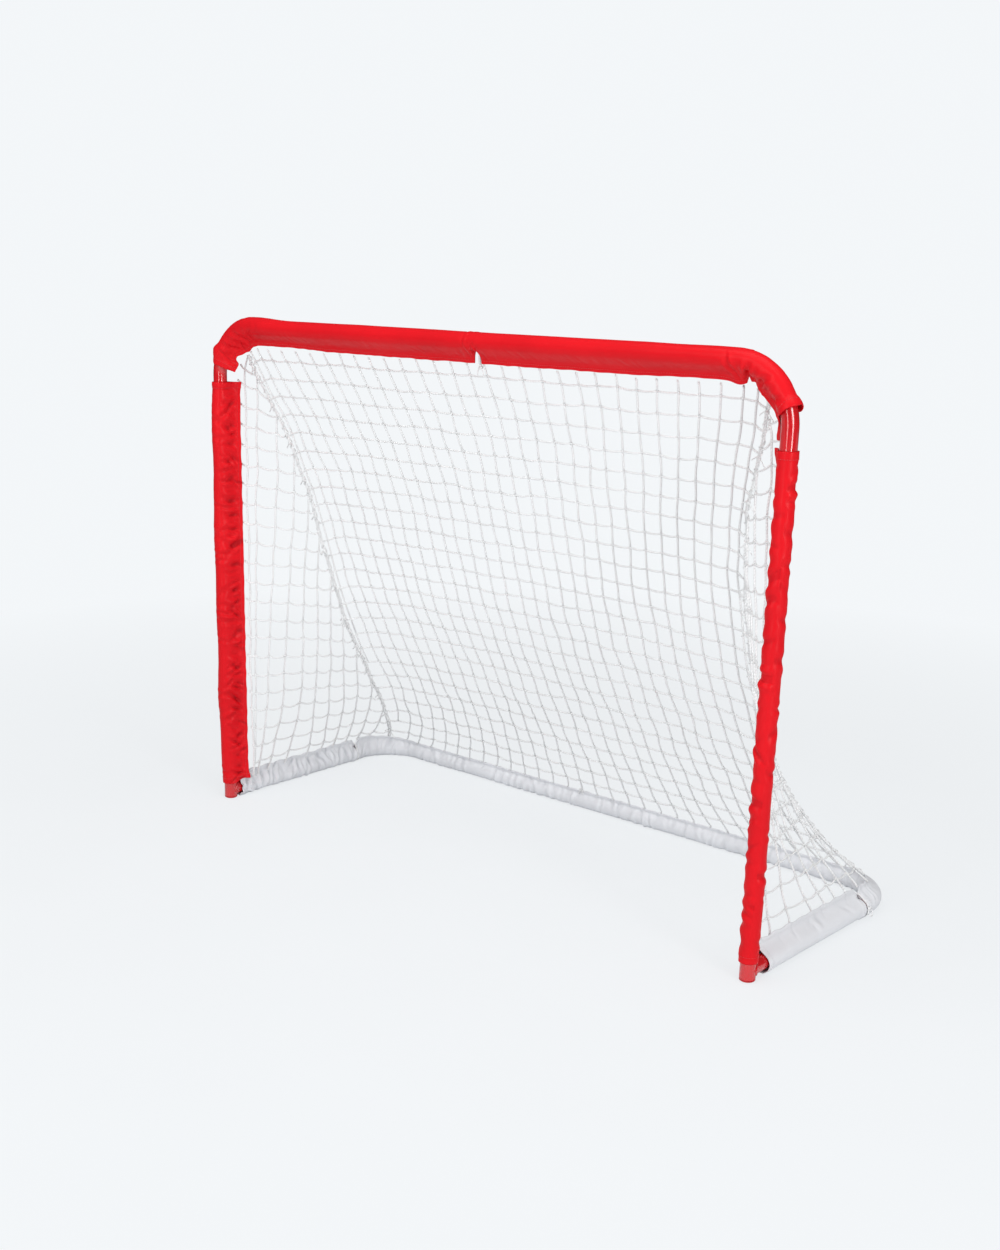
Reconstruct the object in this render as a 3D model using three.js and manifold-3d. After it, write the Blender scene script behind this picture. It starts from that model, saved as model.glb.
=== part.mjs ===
// Street and pond hockey goal: a knock-down steel tube frame, cloth sleeves
// and a net of square mesh. Millimetres, +Z up, the mouth faces -Y. The origin
// is on the floor, in the middle of the footprint.
//
// The frame is two bars of one shape. The front bar is the crossbar with its
// posts, and the base bar is the rear bar with its two sides. Each bar runs
// straight across, turns through a round corner and goes on as a straight leg.
// Every tube, sleeve, net edge and fastener takes its place from the distance
// along one of the two bars, measured from the middle.

import * as THREE from 'three';
import { mergeVertices } from 'three/addons/utils/BufferGeometryUtils.js';
import Module from 'manifold-3d';

const wasm = await Module();
wasm.setup();

// ---------------------------------------------------------------- frame sizes
const POST_SPACING = 1219; // post axis to post axis
const CROSSBAR_HEIGHT = 927.3; // floor to crossbar axis
const BASE_DEPTH = 457; // post axis to rear bar axis
const BASE_HEIGHT = 18; // floor to the axis of the base bar
const CORNER_RADIUS = 92; // centreline of every bent corner
const TUBE_OD = 25.4;
const TUBE_WALL = 1.2;

// ------------------------------------------------- plug joints and snap clips
const CROSSBAR_JOINT_X = 0;
const REAR_JOINT_X = -30;
const POST_JOINT_DROP = 47; // end of the crossbar's corner down to the joint
const POST_INSERT_SHORT = 5; // from the corner down to the end of the insert
const STUB_REACH = 34; // post axis to the end of the stub's full diameter
const INSERT_LENGTH = 60; // length of the reduced end inside its neighbour
const INSERT_CLEARANCE = 0.3; // radial, reduced end to the tube around it
const SEAT_GAP = 0.3; // between faces that meet
const REDUCER_LENGTH = 3; // inside taper between the two bores
const BUTTON_SETBACK = 30; // tube end to button axis
const BUTTON_RADIUS = 2.8;
const BUTTON_HOLE_RADIUS = 3.1;
const BUTTON_PROUD = 2.4; // head above the outer tube
const BUTTON_DOME = 1.0;
const BUTTON_FLANGE_RADIUS = 4;
const CLIP_WIDTH = 6;
const CLIP_THICKNESS = 0.6;
const CLIP_LEG = 22; // straight leg from the button axis to the bend
const CLIP_LEG_HEIGHT = 4.8; // moving leg above the tube axis
const CLIP_HEEL = 3; // clip beyond the button axis

// ----------------------------------------------------------------- foot caps
const CAP_FLANGE = 3;
const CAP_EDGE = 1.5; // bevel round the sole
const CAP_PLUG_LENGTH = 13;
const CAP_PLUG_WALL = 1.6;
const CAP_CLEARANCE = 0.3;

// ------------------------------------------------------------- cloth sleeves
const SLEEVE_CLEARANCE = 0.5; // radial, tube to cloth on the front bar
const CLOTH = 1.4; // wall of a sleeve
const BASE_SLEEVE_REST = 0.4; // tube top to the cloth that hangs on it
const CROSSBAR_FLAP = 28; // sewn double edge beyond the round of the sleeve
const POST_FLAP = 30;
const REAR_FLAP = 8;
const SIDE_FLAP = 20;
const FLAP_THICKNESS = 2.4;
const CROSSBAR_SLEEVE_SHORT = 22; // its ends stop before the end of the corners
const POST_SLEEVE_LAP = { left: 38, right: 20 }; // post sleeve above the joint that it covers
const POST_SLEEVE_BOTTOM = 32;
const BASE_SLEEVE_START = { left: 16.5, right: 36 }; // behind the post axis
const NET_START = 36; // side net, behind the post axis
const CORNER_TIE_SETBACK = 112; // rear bar axis forward to the corner tie
const CORNER_TIE_SLOT = 7; // gap between the sleeves for the tie
const NOTCH_WIDTH = 9; // cut in a sleeve over a joint
const ACCESS_HOLE_RADIUS = 4.5; // over a post or base button
// Directions round the tube, in degrees from straight inward.
const CROSSBAR_FLAP_ANGLE = 26;
const POST_FLAP_ANGLE = 48;
const REAR_FLAP_ANGLE = 64;
const SIDE_FLAP_ANGLE = 75;
const CROSSBAR_BUTTON_ANGLE = 90;
const POST_BUTTON_ANGLE = 90;
const REAR_BUTTON_ANGLE = 124;
const SIDE_BUTTON_ANGLE = 26;

// ----------------------------------------------------------------------- net
const NET_CORD = 3;
const NET_GAP = 0.85; // net edge to the sewn edge
const NET_COLUMNS = 15; // gaps across the back, at twice the real mesh
const NET_ROWS = 12;
const SIDE_COLUMNS = 5;
const LACING_RADIUS = 1.5;
const LACING_STEPS = 28;
const SEAM_CORNER = 0.5; // where on the round corners the seam starts and ends
// The slack net is drawn inward and forward between its four held edges.
const SEAM_MARGIN = 5.4; // along a bar, lacing to the edge of each net
const SEAM_DRAW_IN = 87;
const SEAM_DRAW_SKEW = 1.3; // above 1 it is drawn in most below its middle
const SEAM_DRAW_POWER = 3.6; // higher is squarer
const SEAM_FORWARD = 66;
const SEAM_FORWARD_SKEW = 12;
const SEAM_DROP = 1;
const SEAM_DROP_SKEW = 9;
const CENTRE_BACK = 10;
const CENTRE_BACK_SKEW = 5;
const CENTRE_LIFT = 19;
const CENTRE_LIFT_SKEW = 8;
const SIDE_BELLY = 12;
const SIDE_APEX_TRIM = 0.035; // share of the side net cut off at its top point
const TIE_CORD = 1.7;
const TIE_WIDTH = 6;

// --------------------------------------------------------------- mesh counts
const SIDES = 16;
const CORNER_STEPS = 8;
const CORD_SIDES = 6;
const TIE_STEPS = 16;

// ------------------------------------------------------------- derived sizes
const TUBE_RADIUS = TUBE_OD / 2;
const BORE_RADIUS = TUBE_RADIUS - TUBE_WALL;
const INSERT_RADIUS = BORE_RADIUS - INSERT_CLEARANCE;
const INSERT_BORE = INSERT_RADIUS - TUBE_WALL;
const SLEEVE_RADIUS = TUBE_RADIUS + SLEEVE_CLEARANCE + CLOTH;
const BASE_SLEEVE_RADIUS = (BASE_HEIGHT + TUBE_RADIUS + BASE_SLEEVE_REST + CLOTH) / 2;
const FRONT_Y = (SLEEVE_RADIUS - BASE_SLEEVE_RADIUS - BASE_DEPTH) / 2; // centred footprint
const REAR_Y = FRONT_Y + BASE_DEPTH;
const HALF_STRAIGHT = POST_SPACING / 2 - CORNER_RADIUS;
const CORNER_LENGTH = (Math.PI / 2) * CORNER_RADIUS;
const BUTTON_TOP = TUBE_RADIUS + BUTTON_PROUD;
const OVERRUN = 1; // cutters pass this far beyond what they cut

// -------------------------------------------------------------------- colours
const PAINT = new THREE.MeshStandardMaterial({ color: 0xd4141d, roughness: 0.22, metalness: 0.1 });
const RED_CLOTH = new THREE.MeshStandardMaterial({ color: 0xda1d26, roughness: 0.45, metalness: 0 });
const WHITE_CLOTH = new THREE.MeshStandardMaterial({ color: 0xd8d9de, roughness: 0.7, metalness: 0 });
const NET_YARN = new THREE.MeshStandardMaterial({ color: 0xe6e7ea, roughness: 0.8, metalness: 0 });
const STEEL = new THREE.MeshStandardMaterial({ color: 0xa8a9ad, roughness: 0.35, metalness: 1 });
const CAP_PLASTIC = new THREE.MeshStandardMaterial({ color: 0xc4141c, roughness: 0.5, metalness: 0 });

// --------------------------------------------------------------- small helpers
const radians = (degrees) => (degrees * Math.PI) / 180;
const lerp = (a, b, t) => a + (b - a) * t;
const wave = (v) => Math.sin(Math.PI * v);
const twinWave = (v) => Math.sin(2 * Math.PI * v);
const clamp01 = (x) => Math.min(1, Math.max(0, x));

/** A closed geometry from points and triangles, with its faces pointing out. */
function closedGeometry(points, triangles) {
  const position = new Float32Array(points.flatMap((p) => [p.x, p.y, p.z]));
  let volume = 0;
  for (const [a, b, c] of triangles) {
    volume += points[a].dot(new THREE.Vector3().crossVectors(points[b], points[c]));
  }
  const faces = volume < 0 ? triangles.map(([a, b, c]) => [a, c, b]) : triangles;
  const geometry = new THREE.BufferGeometry();
  geometry.setAttribute('position', new THREE.BufferAttribute(position, 3));
  geometry.setIndex(faces.flat());
  return geometry;
}

/** Turns a closed geometry into a solid that can be joined and cut. */
function toSolid(geometry) {
  const bare = geometry.clone();
  bare.deleteAttribute('normal');
  bare.deleteAttribute('uv');
  const merged = mergeVertices(bare, 1e-4);
  return new wasm.Manifold(
    new wasm.Mesh({
      numProp: 3,
      vertProperties: new Float32Array(merged.attributes.position.array),
      triVerts: new Uint32Array(merged.index.array),
    }),
  );
}

/** Turns a solid back into a geometry. */
function toGeometry(solid) {
  const mesh = solid.getMesh();
  const geometry = new THREE.BufferGeometry();
  geometry.setAttribute('position', new THREE.BufferAttribute(mesh.vertProperties, 3));
  geometry.setIndex(new THREE.BufferAttribute(mesh.triVerts, 1));
  return geometry;
}

const cut = (solid, ...tools) => tools.reduce((rest, tool) => rest.subtract(toSolid(tool)), solid);

// --------------------------------------------------------------- the two bars
/**
 * A bar's frame at a signed distance along it: the point on its axis, the
 * tangent, the inward direction and the direction square to the bar's plane.
 */
function barFrame(distance, place, square) {
  const side = Math.sign(distance) || 1;
  const along = Math.abs(distance);
  const turn = Math.min(Math.max((along - HALF_STRAIGHT) / CORNER_RADIUS, 0), Math.PI / 2);
  const leg = Math.max(along - HALF_STRAIGHT - CORNER_LENGTH, 0);
  const straight = Math.min(along, HALF_STRAIGHT);
  const across = side * (straight + CORNER_RADIUS * Math.sin(turn));
  const down = CORNER_RADIUS * (1 - Math.cos(turn)) + leg;
  const origin = place(0, 0);
  return {
    point: place(across, down),
    tangent: place(Math.cos(turn), side * Math.sin(turn)).sub(origin),
    inward: place(-side * Math.sin(turn), Math.cos(turn)).sub(origin),
    square: square.clone(),
    turn: turn / (Math.PI / 2),
  };
}

const UP = new THREE.Vector3(0, 0, 1);
const BACK = new THREE.Vector3(0, 1, 0);

/** The crossbar and posts: distance from the middle of the crossbar. */
const front = (distance) =>
  barFrame(distance, (x, w) => new THREE.Vector3(x, FRONT_Y, CROSSBAR_HEIGHT - w), BACK);
/** The rear bar and sides: distance from the middle of the rear bar. */
const base = (distance) =>
  barFrame(distance, (x, w) => new THREE.Vector3(x, REAR_Y - w, BASE_HEIGHT), UP);

/** Middle line of the loose base sleeves: they hang on the tube and touch the floor. */
const baseCloth = (distance) =>
  barFrame(distance, (x, w) => new THREE.Vector3(x, REAR_Y - w, BASE_SLEEVE_RADIUS), UP);

/** Distance along the front bar of a height on a post. */
const atHeight = (z) => HALF_STRAIGHT + CORNER_LENGTH + (CROSSBAR_HEIGHT - CORNER_RADIUS - z);
const POST_JOINT = HALF_STRAIGHT + CORNER_LENGTH + POST_JOINT_DROP;
/** Distance along the base bar of a place behind the post axis. */
const behindPost = (y) => HALF_STRAIGHT + CORNER_LENGTH + (BASE_DEPTH - CORNER_RADIUS - y);

/** Unit direction round the tube, measured from inward. */
function roundTube(frame, degrees) {
  const angle = radians(degrees);
  return frame.inward
    .clone()
    .multiplyScalar(Math.cos(angle))
    .addScaledVector(frame.square, Math.sin(angle));
}

/** The sleeves of a bar: middle line, radius and the flap across and along the bar. */
const frontCloth = {
  bar: front,
  radius: SLEEVE_RADIUS,
  angles: [CROSSBAR_FLAP_ANGLE, POST_FLAP_ANGLE],
  flaps: [CROSSBAR_FLAP, POST_FLAP],
};
const rearCloth = {
  bar: baseCloth,
  radius: BASE_SLEEVE_RADIUS,
  angles: [REAR_FLAP_ANGLE, SIDE_FLAP_ANGLE],
  flaps: [REAR_FLAP, SIDE_FLAP],
};
const flapAngle = (cloth, frame) => lerp(...cloth.angles, frame.turn);
const flapReach = (cloth, frame) => cloth.radius + lerp(...cloth.flaps, frame.turn);

/** A point beyond the sewn edge of a sleeve, by a gap. */
function sewnEdge(cloth, distance, gap = 0) {
  const frame = cloth.bar(distance);
  const direction = roundTube(frame, flapAngle(cloth, frame));
  return frame.point.addScaledVector(direction, flapReach(cloth, frame) + gap);
}

/** The edge of a net that faces one way: its cord keeps clear of the sewn edge. */
function netEdge(cloth, distance, facing) {
  const frame = cloth.bar(distance);
  const lean = Math.abs(roundTube(frame, flapAngle(cloth, frame)).dot(facing));
  return sewnEdge(cloth, distance, NET_GAP + (lean * NET_CORD) / 2);
}

// --------------------------------------------------------- solids along a bar
/** The distances at which a solid between two places needs a section. */
function stationsBetween(from, to) {
  const stops = [from];
  for (const side of [-1, 1]) {
    for (let i = 0; i <= CORNER_STEPS; i += 1) {
      const stop = side * (HALF_STRAIGHT + (CORNER_LENGTH * i) / CORNER_STEPS);
      if (stop > Math.min(from, to) + 0.5 && stop < Math.max(from, to) - 0.5) stops.push(stop);
    }
  }
  stops.push(to);
  return stops.sort((a, b) => (to > from ? a - b : b - a));
}

/** A closed solid through a row of sections with as many points each. */
function throughSections(sections) {
  const points = [];
  const triangles = [];
  const count = sections[0].ring.length;
  sections.forEach(({ ring }) => points.push(...ring));
  for (let s = 0; s + 1 < sections.length; s += 1) {
    for (let i = 0; i < count; i += 1) {
      const a = s * count + i;
      const b = s * count + ((i + 1) % count);
      triangles.push([a, b, b + count], [a, b + count, a + count]);
    }
  }
  const cap = THREE.ShapeUtils.triangulateShape(sections[0].flat, []);
  const last = (sections.length - 1) * count;
  const turned = THREE.ShapeUtils.isClockWise(sections[0].flat);
  for (const [a, b, c] of cap) {
    triangles.push(turned ? [a, b, c] : [a, c, b]);
    triangles.push(turned ? [last + a, last + c, last + b] : [last + a, last + b, last + c]);
  }
  return closedGeometry(points, triangles);
}

/** A section of a bar: points given round the tube as angle and radius. */
function section(frame, outline) {
  const ring = outline.map(([degrees, radius]) =>
    frame.point.clone().addScaledVector(roundTube(frame, degrees), radius),
  );
  const flat = outline.map(
    ([degrees, radius]) =>
      new THREE.Vector2(radius * Math.cos(radians(degrees)), radius * Math.sin(radians(degrees))),
  );
  return { ring, flat };
}

const CORNER_OF_SIDE = 180 / SIDES; // sides lie flat towards inward and square
/** A polygon round the tube whose sides lie at the radius. */
const roundOutline = (radius) =>
  Array.from({ length: SIDES }, (_, i) => [
    CORNER_OF_SIDE * (2 * i + 1),
    radius / Math.cos(radians(CORNER_OF_SIDE)),
  ]);

/** A round rod along a bar, through pairs of distance and radius. */
function rod(bar, profile) {
  const sections = [];
  profile.forEach(([distance, radius], i) => {
    const next = profile[i + 1];
    const stops = next && next[1] === radius ? stationsBetween(distance, next[0]) : [distance];
    stops.slice(0, next && next[1] === radius ? -1 : 1).forEach((stop) => {
      sections.push(section(bar(stop), roundOutline(radius)));
    });
  });
  return throughSections(sections);
}

/** The outline of a sleeve with its flap, at one place on the bar. */
function sleeveOutline(cloth, frame) {
  const half = FLAP_THICKNESS / 2;
  const degrees = flapAngle(cloth, frame);
  const reach = flapReach(cloth, frame);
  const [across, along] = cloth.angles;
  const root = (Math.asin(half / cloth.radius) * 180) / Math.PI;
  const tip = (Math.atan(half / reach) * 180) / Math.PI;
  const round = roundOutline(cloth.radius)
    .map(([angle, radius]) => [angle <= along ? angle + 360 : angle, radius])
    .filter(([angle]) => angle > along + root && angle < across + 360 - root)
    .sort((a, b) => a[0] - b[0]);
  return [
    [degrees + root, cloth.radius],
    ...round,
    [degrees - root, cloth.radius],
    [degrees - tip, Math.hypot(half, reach)],
    [degrees + tip, Math.hypot(half, reach)],
  ];
}

/** A sewn cloth sleeve along a bar, with cutters for its notches and holes. */
function sleeve(cloth, from, to, tools = []) {
  const sections = stationsBetween(from, to).map((stop) => {
    const frame = cloth.bar(stop);
    return section(frame, sleeveOutline(cloth, frame));
  });
  const way = Math.sign(to - from);
  const bore = rod(cloth.bar, [
    [from - way * OVERRUN, cloth.radius - CLOTH],
    [to + way * OVERRUN, cloth.radius - CLOTH],
  ]);
  return toGeometry(cut(toSolid(throughSections(sections)), bore, ...tools));
}

/** Places a local geometry on a bar: X along it, Z out at an angle, from its axis. */
function onBar(geometry, bar, distance, degrees) {
  const frame = bar(distance);
  const out = roundTube(frame, degrees);
  const matrix = new THREE.Matrix4().makeBasis(
    frame.tangent,
    new THREE.Vector3().crossVectors(out, frame.tangent),
    out,
  );
  matrix.setPosition(frame.point);
  return geometry.applyMatrix4(matrix);
}

/** A round cutter that points out from the axis of a bar. */
function holeCutter(radius, bar, distance, degrees) {
  const drill = new THREE.CylinderGeometry(radius, radius, BASE_SLEEVE_RADIUS, 12);
  drill.rotateX(Math.PI / 2).translate(0, 0, BASE_SLEEVE_RADIUS / 2 + BUTTON_FLANGE_RADIUS);
  return onBar(drill, bar, distance, degrees);
}

/** A cutter that opens a sleeve's flap and the cloth beside it, over a joint. */
function notchCutter(cloth, distance) {
  const frame = cloth.bar(distance);
  const depth = flapReach(cloth, frame) + OVERRUN;
  const block = new THREE.BoxGeometry(NOTCH_WIDTH, 2 * (cloth.radius + OVERRUN), depth);
  block.translate(0, 0, depth / 2);
  return onBar(block, cloth.bar, distance, flapAngle(cloth, frame));
}

// ------------------------------------------------------------------ the tubes
/** Outer surface of a tube from a plain end to a reduced end. */
const plugProfile = (from, joint, way, insertLength) => [
  [from, TUBE_RADIUS],
  [joint - (way * SEAT_GAP) / 2, TUBE_RADIUS],
  [joint - (way * SEAT_GAP) / 2, INSERT_RADIUS],
  [joint + way * insertLength, INSERT_RADIUS],
];

/** Bore of the same tube, which narrows just inside the joint. */
const plugBore = (from, joint, way, insertLength) => [
  [from - way * OVERRUN, BORE_RADIUS],
  [joint - way * (REDUCER_LENGTH + TUBE_WALL), BORE_RADIUS],
  [joint - way * TUBE_WALL, INSERT_BORE],
  [joint + way * (insertLength + OVERRUN), INSERT_BORE],
];

/** A tube whose far end is reduced to plug into its neighbour. */
function plugTube(bar, from, joint, holes) {
  const way = Math.sign(joint - from);
  const outer = rod(bar, plugProfile(from, joint, way, INSERT_LENGTH));
  const bore = rod(bar, plugBore(from, joint, way, INSERT_LENGTH));
  return toGeometry(cut(toSolid(outer), bore, ...holes));
}

/** A plain tube, open at both ends. */
function socketTube(bar, from, to, holes) {
  const way = Math.sign(to - from);
  const outer = rod(bar, [[from, TUBE_RADIUS], [to, TUBE_RADIUS]]);
  const bore = rod(bar, [[from - way * OVERRUN, BORE_RADIUS], [to + way * OVERRUN, BORE_RADIUS]]);
  return toGeometry(cut(toSolid(outer), bore, ...holes));
}

/** A snap button's place: the bar, the distance, its angle and the way into the tube. */
const snaps = {
  crossbar: {
    bar: front, distance: CROSSBAR_JOINT_X + BUTTON_SETBACK, angle: CROSSBAR_BUTTON_ANGLE, inside: -1,
  },
  rear: {
    bar: base, distance: REAR_JOINT_X - BUTTON_SETBACK, angle: REAR_BUTTON_ANGLE, inside: 1,
  },
};
for (const [name, side] of [['left', -1], ['right', 1]]) {
  snaps[`post_${name}`] = {
    bar: front,
    distance: side * (POST_JOINT - BUTTON_SETBACK),
    angle: POST_BUTTON_ANGLE,
    inside: side,
  };
  snaps[`base_${name}`] = {
    bar: base,
    distance: side * behindPost(STUB_REACH + BUTTON_SETBACK),
    angle: SIDE_BUTTON_ANGLE,
    inside: side,
  };
}
const snapHole = ({ bar, distance, angle }) => holeCutter(BUTTON_HOLE_RADIUS, bar, distance, angle);

/** A post with its welded stub: the tube stands on its cap and plugs in upward. */
function postTube(side, topSnap, baseSnap) {
  const sole = side * atHeight(CAP_FLANGE + SEAT_GAP);
  const top = side * POST_JOINT;
  const insert = POST_JOINT_DROP - POST_INSERT_SHORT;
  const stubRoot = side * behindPost(0);
  const stubEnd = side * behindPost(STUB_REACH);
  const stubBoreStart = side * behindPost(TUBE_RADIUS + TUBE_WALL);
  const way = -side;
  const upright = toSolid(rod(front, plugProfile(sole, top, way, insert)));
  const stub = toSolid(rod(base, plugProfile(stubRoot, stubEnd, way, INSERT_LENGTH)));
  const stubBore = plugBore(stubBoreStart + way * OVERRUN, stubEnd, way, INSERT_LENGTH);
  return toGeometry(
    cut(
      upright.add(stub),
      rod(front, plugBore(sole, top, way, insert)),
      rod(base, stubBore),
      snapHole(topSnap),
      snapHole(baseSnap),
    ),
  );
}

// ------------------------------------------------------------- snap fasteners
/** Button with its flange, and the leg of the clip that it moves with. */
function snapButton({ bar, distance, angle, inside }) {
  const legTop = CLIP_LEG_HEIGHT + CLIP_THICKNESS;
  const flangeLimit = INSERT_BORE - SEAT_GAP;
  const flangeTop = Math.sqrt(flangeLimit ** 2 - BUTTON_FLANGE_RADIUS ** 2);
  const profile = [
    [0, CLIP_LEG_HEIGHT],
    [BUTTON_FLANGE_RADIUS, CLIP_LEG_HEIGHT],
    [BUTTON_FLANGE_RADIUS, flangeTop],
    [BUTTON_RADIUS, flangeTop],
    [BUTTON_RADIUS, BUTTON_TOP - BUTTON_DOME],
    [BUTTON_RADIUS * 0.75, BUTTON_TOP - BUTTON_DOME * 0.3],
    [0, BUTTON_TOP],
  ].map(([radius, height]) => new THREE.Vector2(radius, height));
  const head = new THREE.LatheGeometry(profile, 12).rotateX(Math.PI / 2);
  const leg = new THREE.BoxGeometry(CLIP_LEG + CLIP_HEEL, CLIP_WIDTH, CLIP_THICKNESS);
  leg.translate((inside * (CLIP_LEG - CLIP_HEEL)) / 2, 0, legTop - CLIP_THICKNESS / 2);
  const piece = toGeometry(toSolid(head).add(toSolid(leg)));
  return onBar(piece, bar, distance, angle);
}

/** The rest of the clip: its round bend and the leg that lies on the far wall. */
function snapClip({ bar, distance, angle, inside }) {
  const seat = Math.sqrt((INSERT_BORE - SEAT_GAP) ** 2 - (CLIP_WIDTH / 2) ** 2);
  const top = CLIP_LEG_HEIGHT + CLIP_THICKNESS;
  const middle = (top - seat) / 2;
  const radius = (top + seat) / 2;
  const start = CLIP_LEG + SEAT_GAP;
  const shape = new THREE.Shape();
  shape.moveTo(-CLIP_HEEL, -seat);
  shape.lineTo(start, -seat);
  shape.absarc(start, middle, radius, -Math.PI / 2, Math.PI / 2, false);
  shape.lineTo(start, top - CLIP_THICKNESS);
  shape.absarc(start, middle, radius - CLIP_THICKNESS, Math.PI / 2, -Math.PI / 2, true);
  shape.lineTo(-CLIP_HEEL, CLIP_THICKNESS - seat);
  shape.closePath();
  const strip = new THREE.ExtrudeGeometry(shape, {
    depth: CLIP_WIDTH, bevelEnabled: false, curveSegments: 8,
  });
  strip.translate(0, 0, -CLIP_WIDTH / 2).rotateX(Math.PI / 2);
  if (inside < 0) strip.rotateZ(Math.PI);
  return onBar(strip, bar, distance, angle);
}

/** Moulded cap: a hollow plug in the post and a bevelled sole under it. */
function footCap(side) {
  const plug = BORE_RADIUS - CAP_CLEARANCE;
  const profile = [
    [0, 0],
    [TUBE_RADIUS - CAP_EDGE, 0],
    [TUBE_RADIUS, CAP_EDGE],
    [TUBE_RADIUS, CAP_FLANGE],
    [plug, CAP_FLANGE],
    [plug, CAP_FLANGE + CAP_PLUG_LENGTH],
    [plug - CAP_PLUG_WALL, CAP_FLANGE + CAP_PLUG_LENGTH],
    [plug - CAP_PLUG_WALL, CAP_FLANGE],
    [0, CAP_FLANGE],
  ].map(([radius, height]) => new THREE.Vector2(radius, height));
  const cap = new THREE.LatheGeometry(profile, 24).rotateX(Math.PI / 2);
  return cap.translate((side * POST_SPACING) / 2, FRONT_Y, 0);
}

// -------------------------------------------------------------------- the net
const SEAM_PLACE = HALF_STRAIGHT + CORNER_LENGTH * SEAM_CORNER;
const SIDEWAYS = new THREE.Vector3(1, 0, 0);
const BACKWARD = sewnEdge(frontCloth, 0)
  .sub(sewnEdge(rearCloth, 0))
  .cross(SIDEWAYS)
  .normalize();

/**
 * The seam between the back and a side, from its top (0) to its bottom (1).
 * The margin moves it round both corners: the lacing lies on it, and the edges
 * of the two nets lie one margin before and beyond it.
 */
function seam(side, v, margin = 0) {
  const place = side * (SEAM_PLACE + margin);
  const facing = margin > 0 ? SIDEWAYS : BACKWARD;
  const top = netEdge(frontCloth, place, facing);
  const low = netEdge(rearCloth, place, facing);
  const drawn = 1 - Math.abs(2 * v ** SEAM_DRAW_SKEW - 1) ** SEAM_DRAW_POWER;
  return new THREE.Vector3(
    lerp(top.x, low.x, v) - side * SEAM_DRAW_IN * drawn,
    lerp(top.y, low.y, v) - SEAM_FORWARD * wave(v) + SEAM_FORWARD_SKEW * twinWave(v),
    lerp(top.z, low.z, v) - SEAM_DROP * wave(v) + SEAM_DROP_SKEW * twinWave(v),
  );
}

/** The back net, across (0 to 1) and down (0 to 1): a patch slack in the middle. */
function backNet(u, v) {
  const place = lerp(-1, 1, u) * (SEAM_PLACE - SEAM_MARGIN);
  const top = netEdge(frontCloth, place, BACKWARD);
  const low = netEdge(rearCloth, place, BACKWARD);
  const edge = (w) => seam(-1, w, -SEAM_MARGIN).lerp(seam(1, w, -SEAM_MARGIN), u);
  const point = top.lerp(low, v).add(edge(v)).sub(edge(0).lerp(edge(1), v));
  const middle = 1 - lerp(-1, 1, u) ** 4;
  point.y += middle * (CENTRE_BACK * wave(v) + CENTRE_BACK_SKEW * twinWave(v));
  point.z += middle * (CENTRE_LIFT * wave(v) - CENTRE_LIFT_SKEW * twinWave(v));
  return point;
}

const SIDE_START = behindPost(NET_START);
const NET_FOOT = netEdge(rearCloth, SIDE_START, SIDEWAYS).z; // lowest height of the side nets

/** A side net: 0 to 1 back from the post to the seam, and 0 to 1 up the post. */
function sideNet(side, back, up) {
  const foot = atHeight(NET_FOOT);
  const last = SEAM_PLACE + SEAM_MARGIN;
  const post = netEdge(frontCloth, side * lerp(foot, last, up), SIDEWAYS);
  const point = post.lerp(seam(side, 1 - up, SEAM_MARGIN), back);
  const start = netEdge(frontCloth, side * foot, SIDEWAYS);
  const end = seam(side, 1, SEAM_MARGIN);
  const floor = netEdge(rearCloth, side * lerp(SIDE_START, last, back), SIDEWAYS);
  const held = start.clone().lerp(floor, clamp01((back * SIDE_COLUMNS) / 2));
  point.addScaledVector(held.sub(start.lerp(end, back)), (1 - up) ** 4);
  point.x -= side * SIDE_BELLY * wave(up) * wave(back);
  return point;
}

/** Keeps the part of a flat polygon where a*x + b*y <= c. */
function clipPolygon(polygon, a, b, c) {
  const value = ([x, y]) => a * x + b * y - c;
  const kept = [];
  polygon.forEach((point, i) => {
    const next = polygon[(i + 1) % polygon.length];
    const here = value(point);
    const there = value(next);
    if (here <= 1e-9) kept.push(point);
    if ((here < -1e-9 && there > 1e-9) || (here > 1e-9 && there < -1e-9)) {
      const t = here / (here - there);
      kept.push([lerp(point[0], next[0], t), lerp(point[1], next[1], t)]);
    }
  });
  return kept;
}

/** Moves each edge of a convex polygon inward by its own distance. */
function insetPolygon(polygon, distances) {
  const lines = polygon.map((p, i) => {
    const q = polygon[(i + 1) % polygon.length];
    const length = Math.hypot(q[0] - p[0], q[1] - p[1]);
    const normal = [-(q[1] - p[1]) / length, (q[0] - p[0]) / length];
    return { normal, offset: normal[0] * p[0] + normal[1] * p[1] + distances[i] };
  });
  return lines.map((line, i) => {
    const before = lines[(i + lines.length - 1) % lines.length];
    const det = before.normal[0] * line.normal[1] - before.normal[1] * line.normal[0];
    return [
      (before.offset * line.normal[1] - line.offset * before.normal[1]) / det,
      (before.normal[0] * line.offset - line.normal[0] * before.offset) / det,
    ];
  });
}

const polygonArea = (polygon) =>
  polygon.reduce((sum, [x, y], i) => {
    const [nx, ny] = polygon[(i + 1) % polygon.length];
    return sum + (x * ny - nx * y) / 2;
  }, 0);

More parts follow.
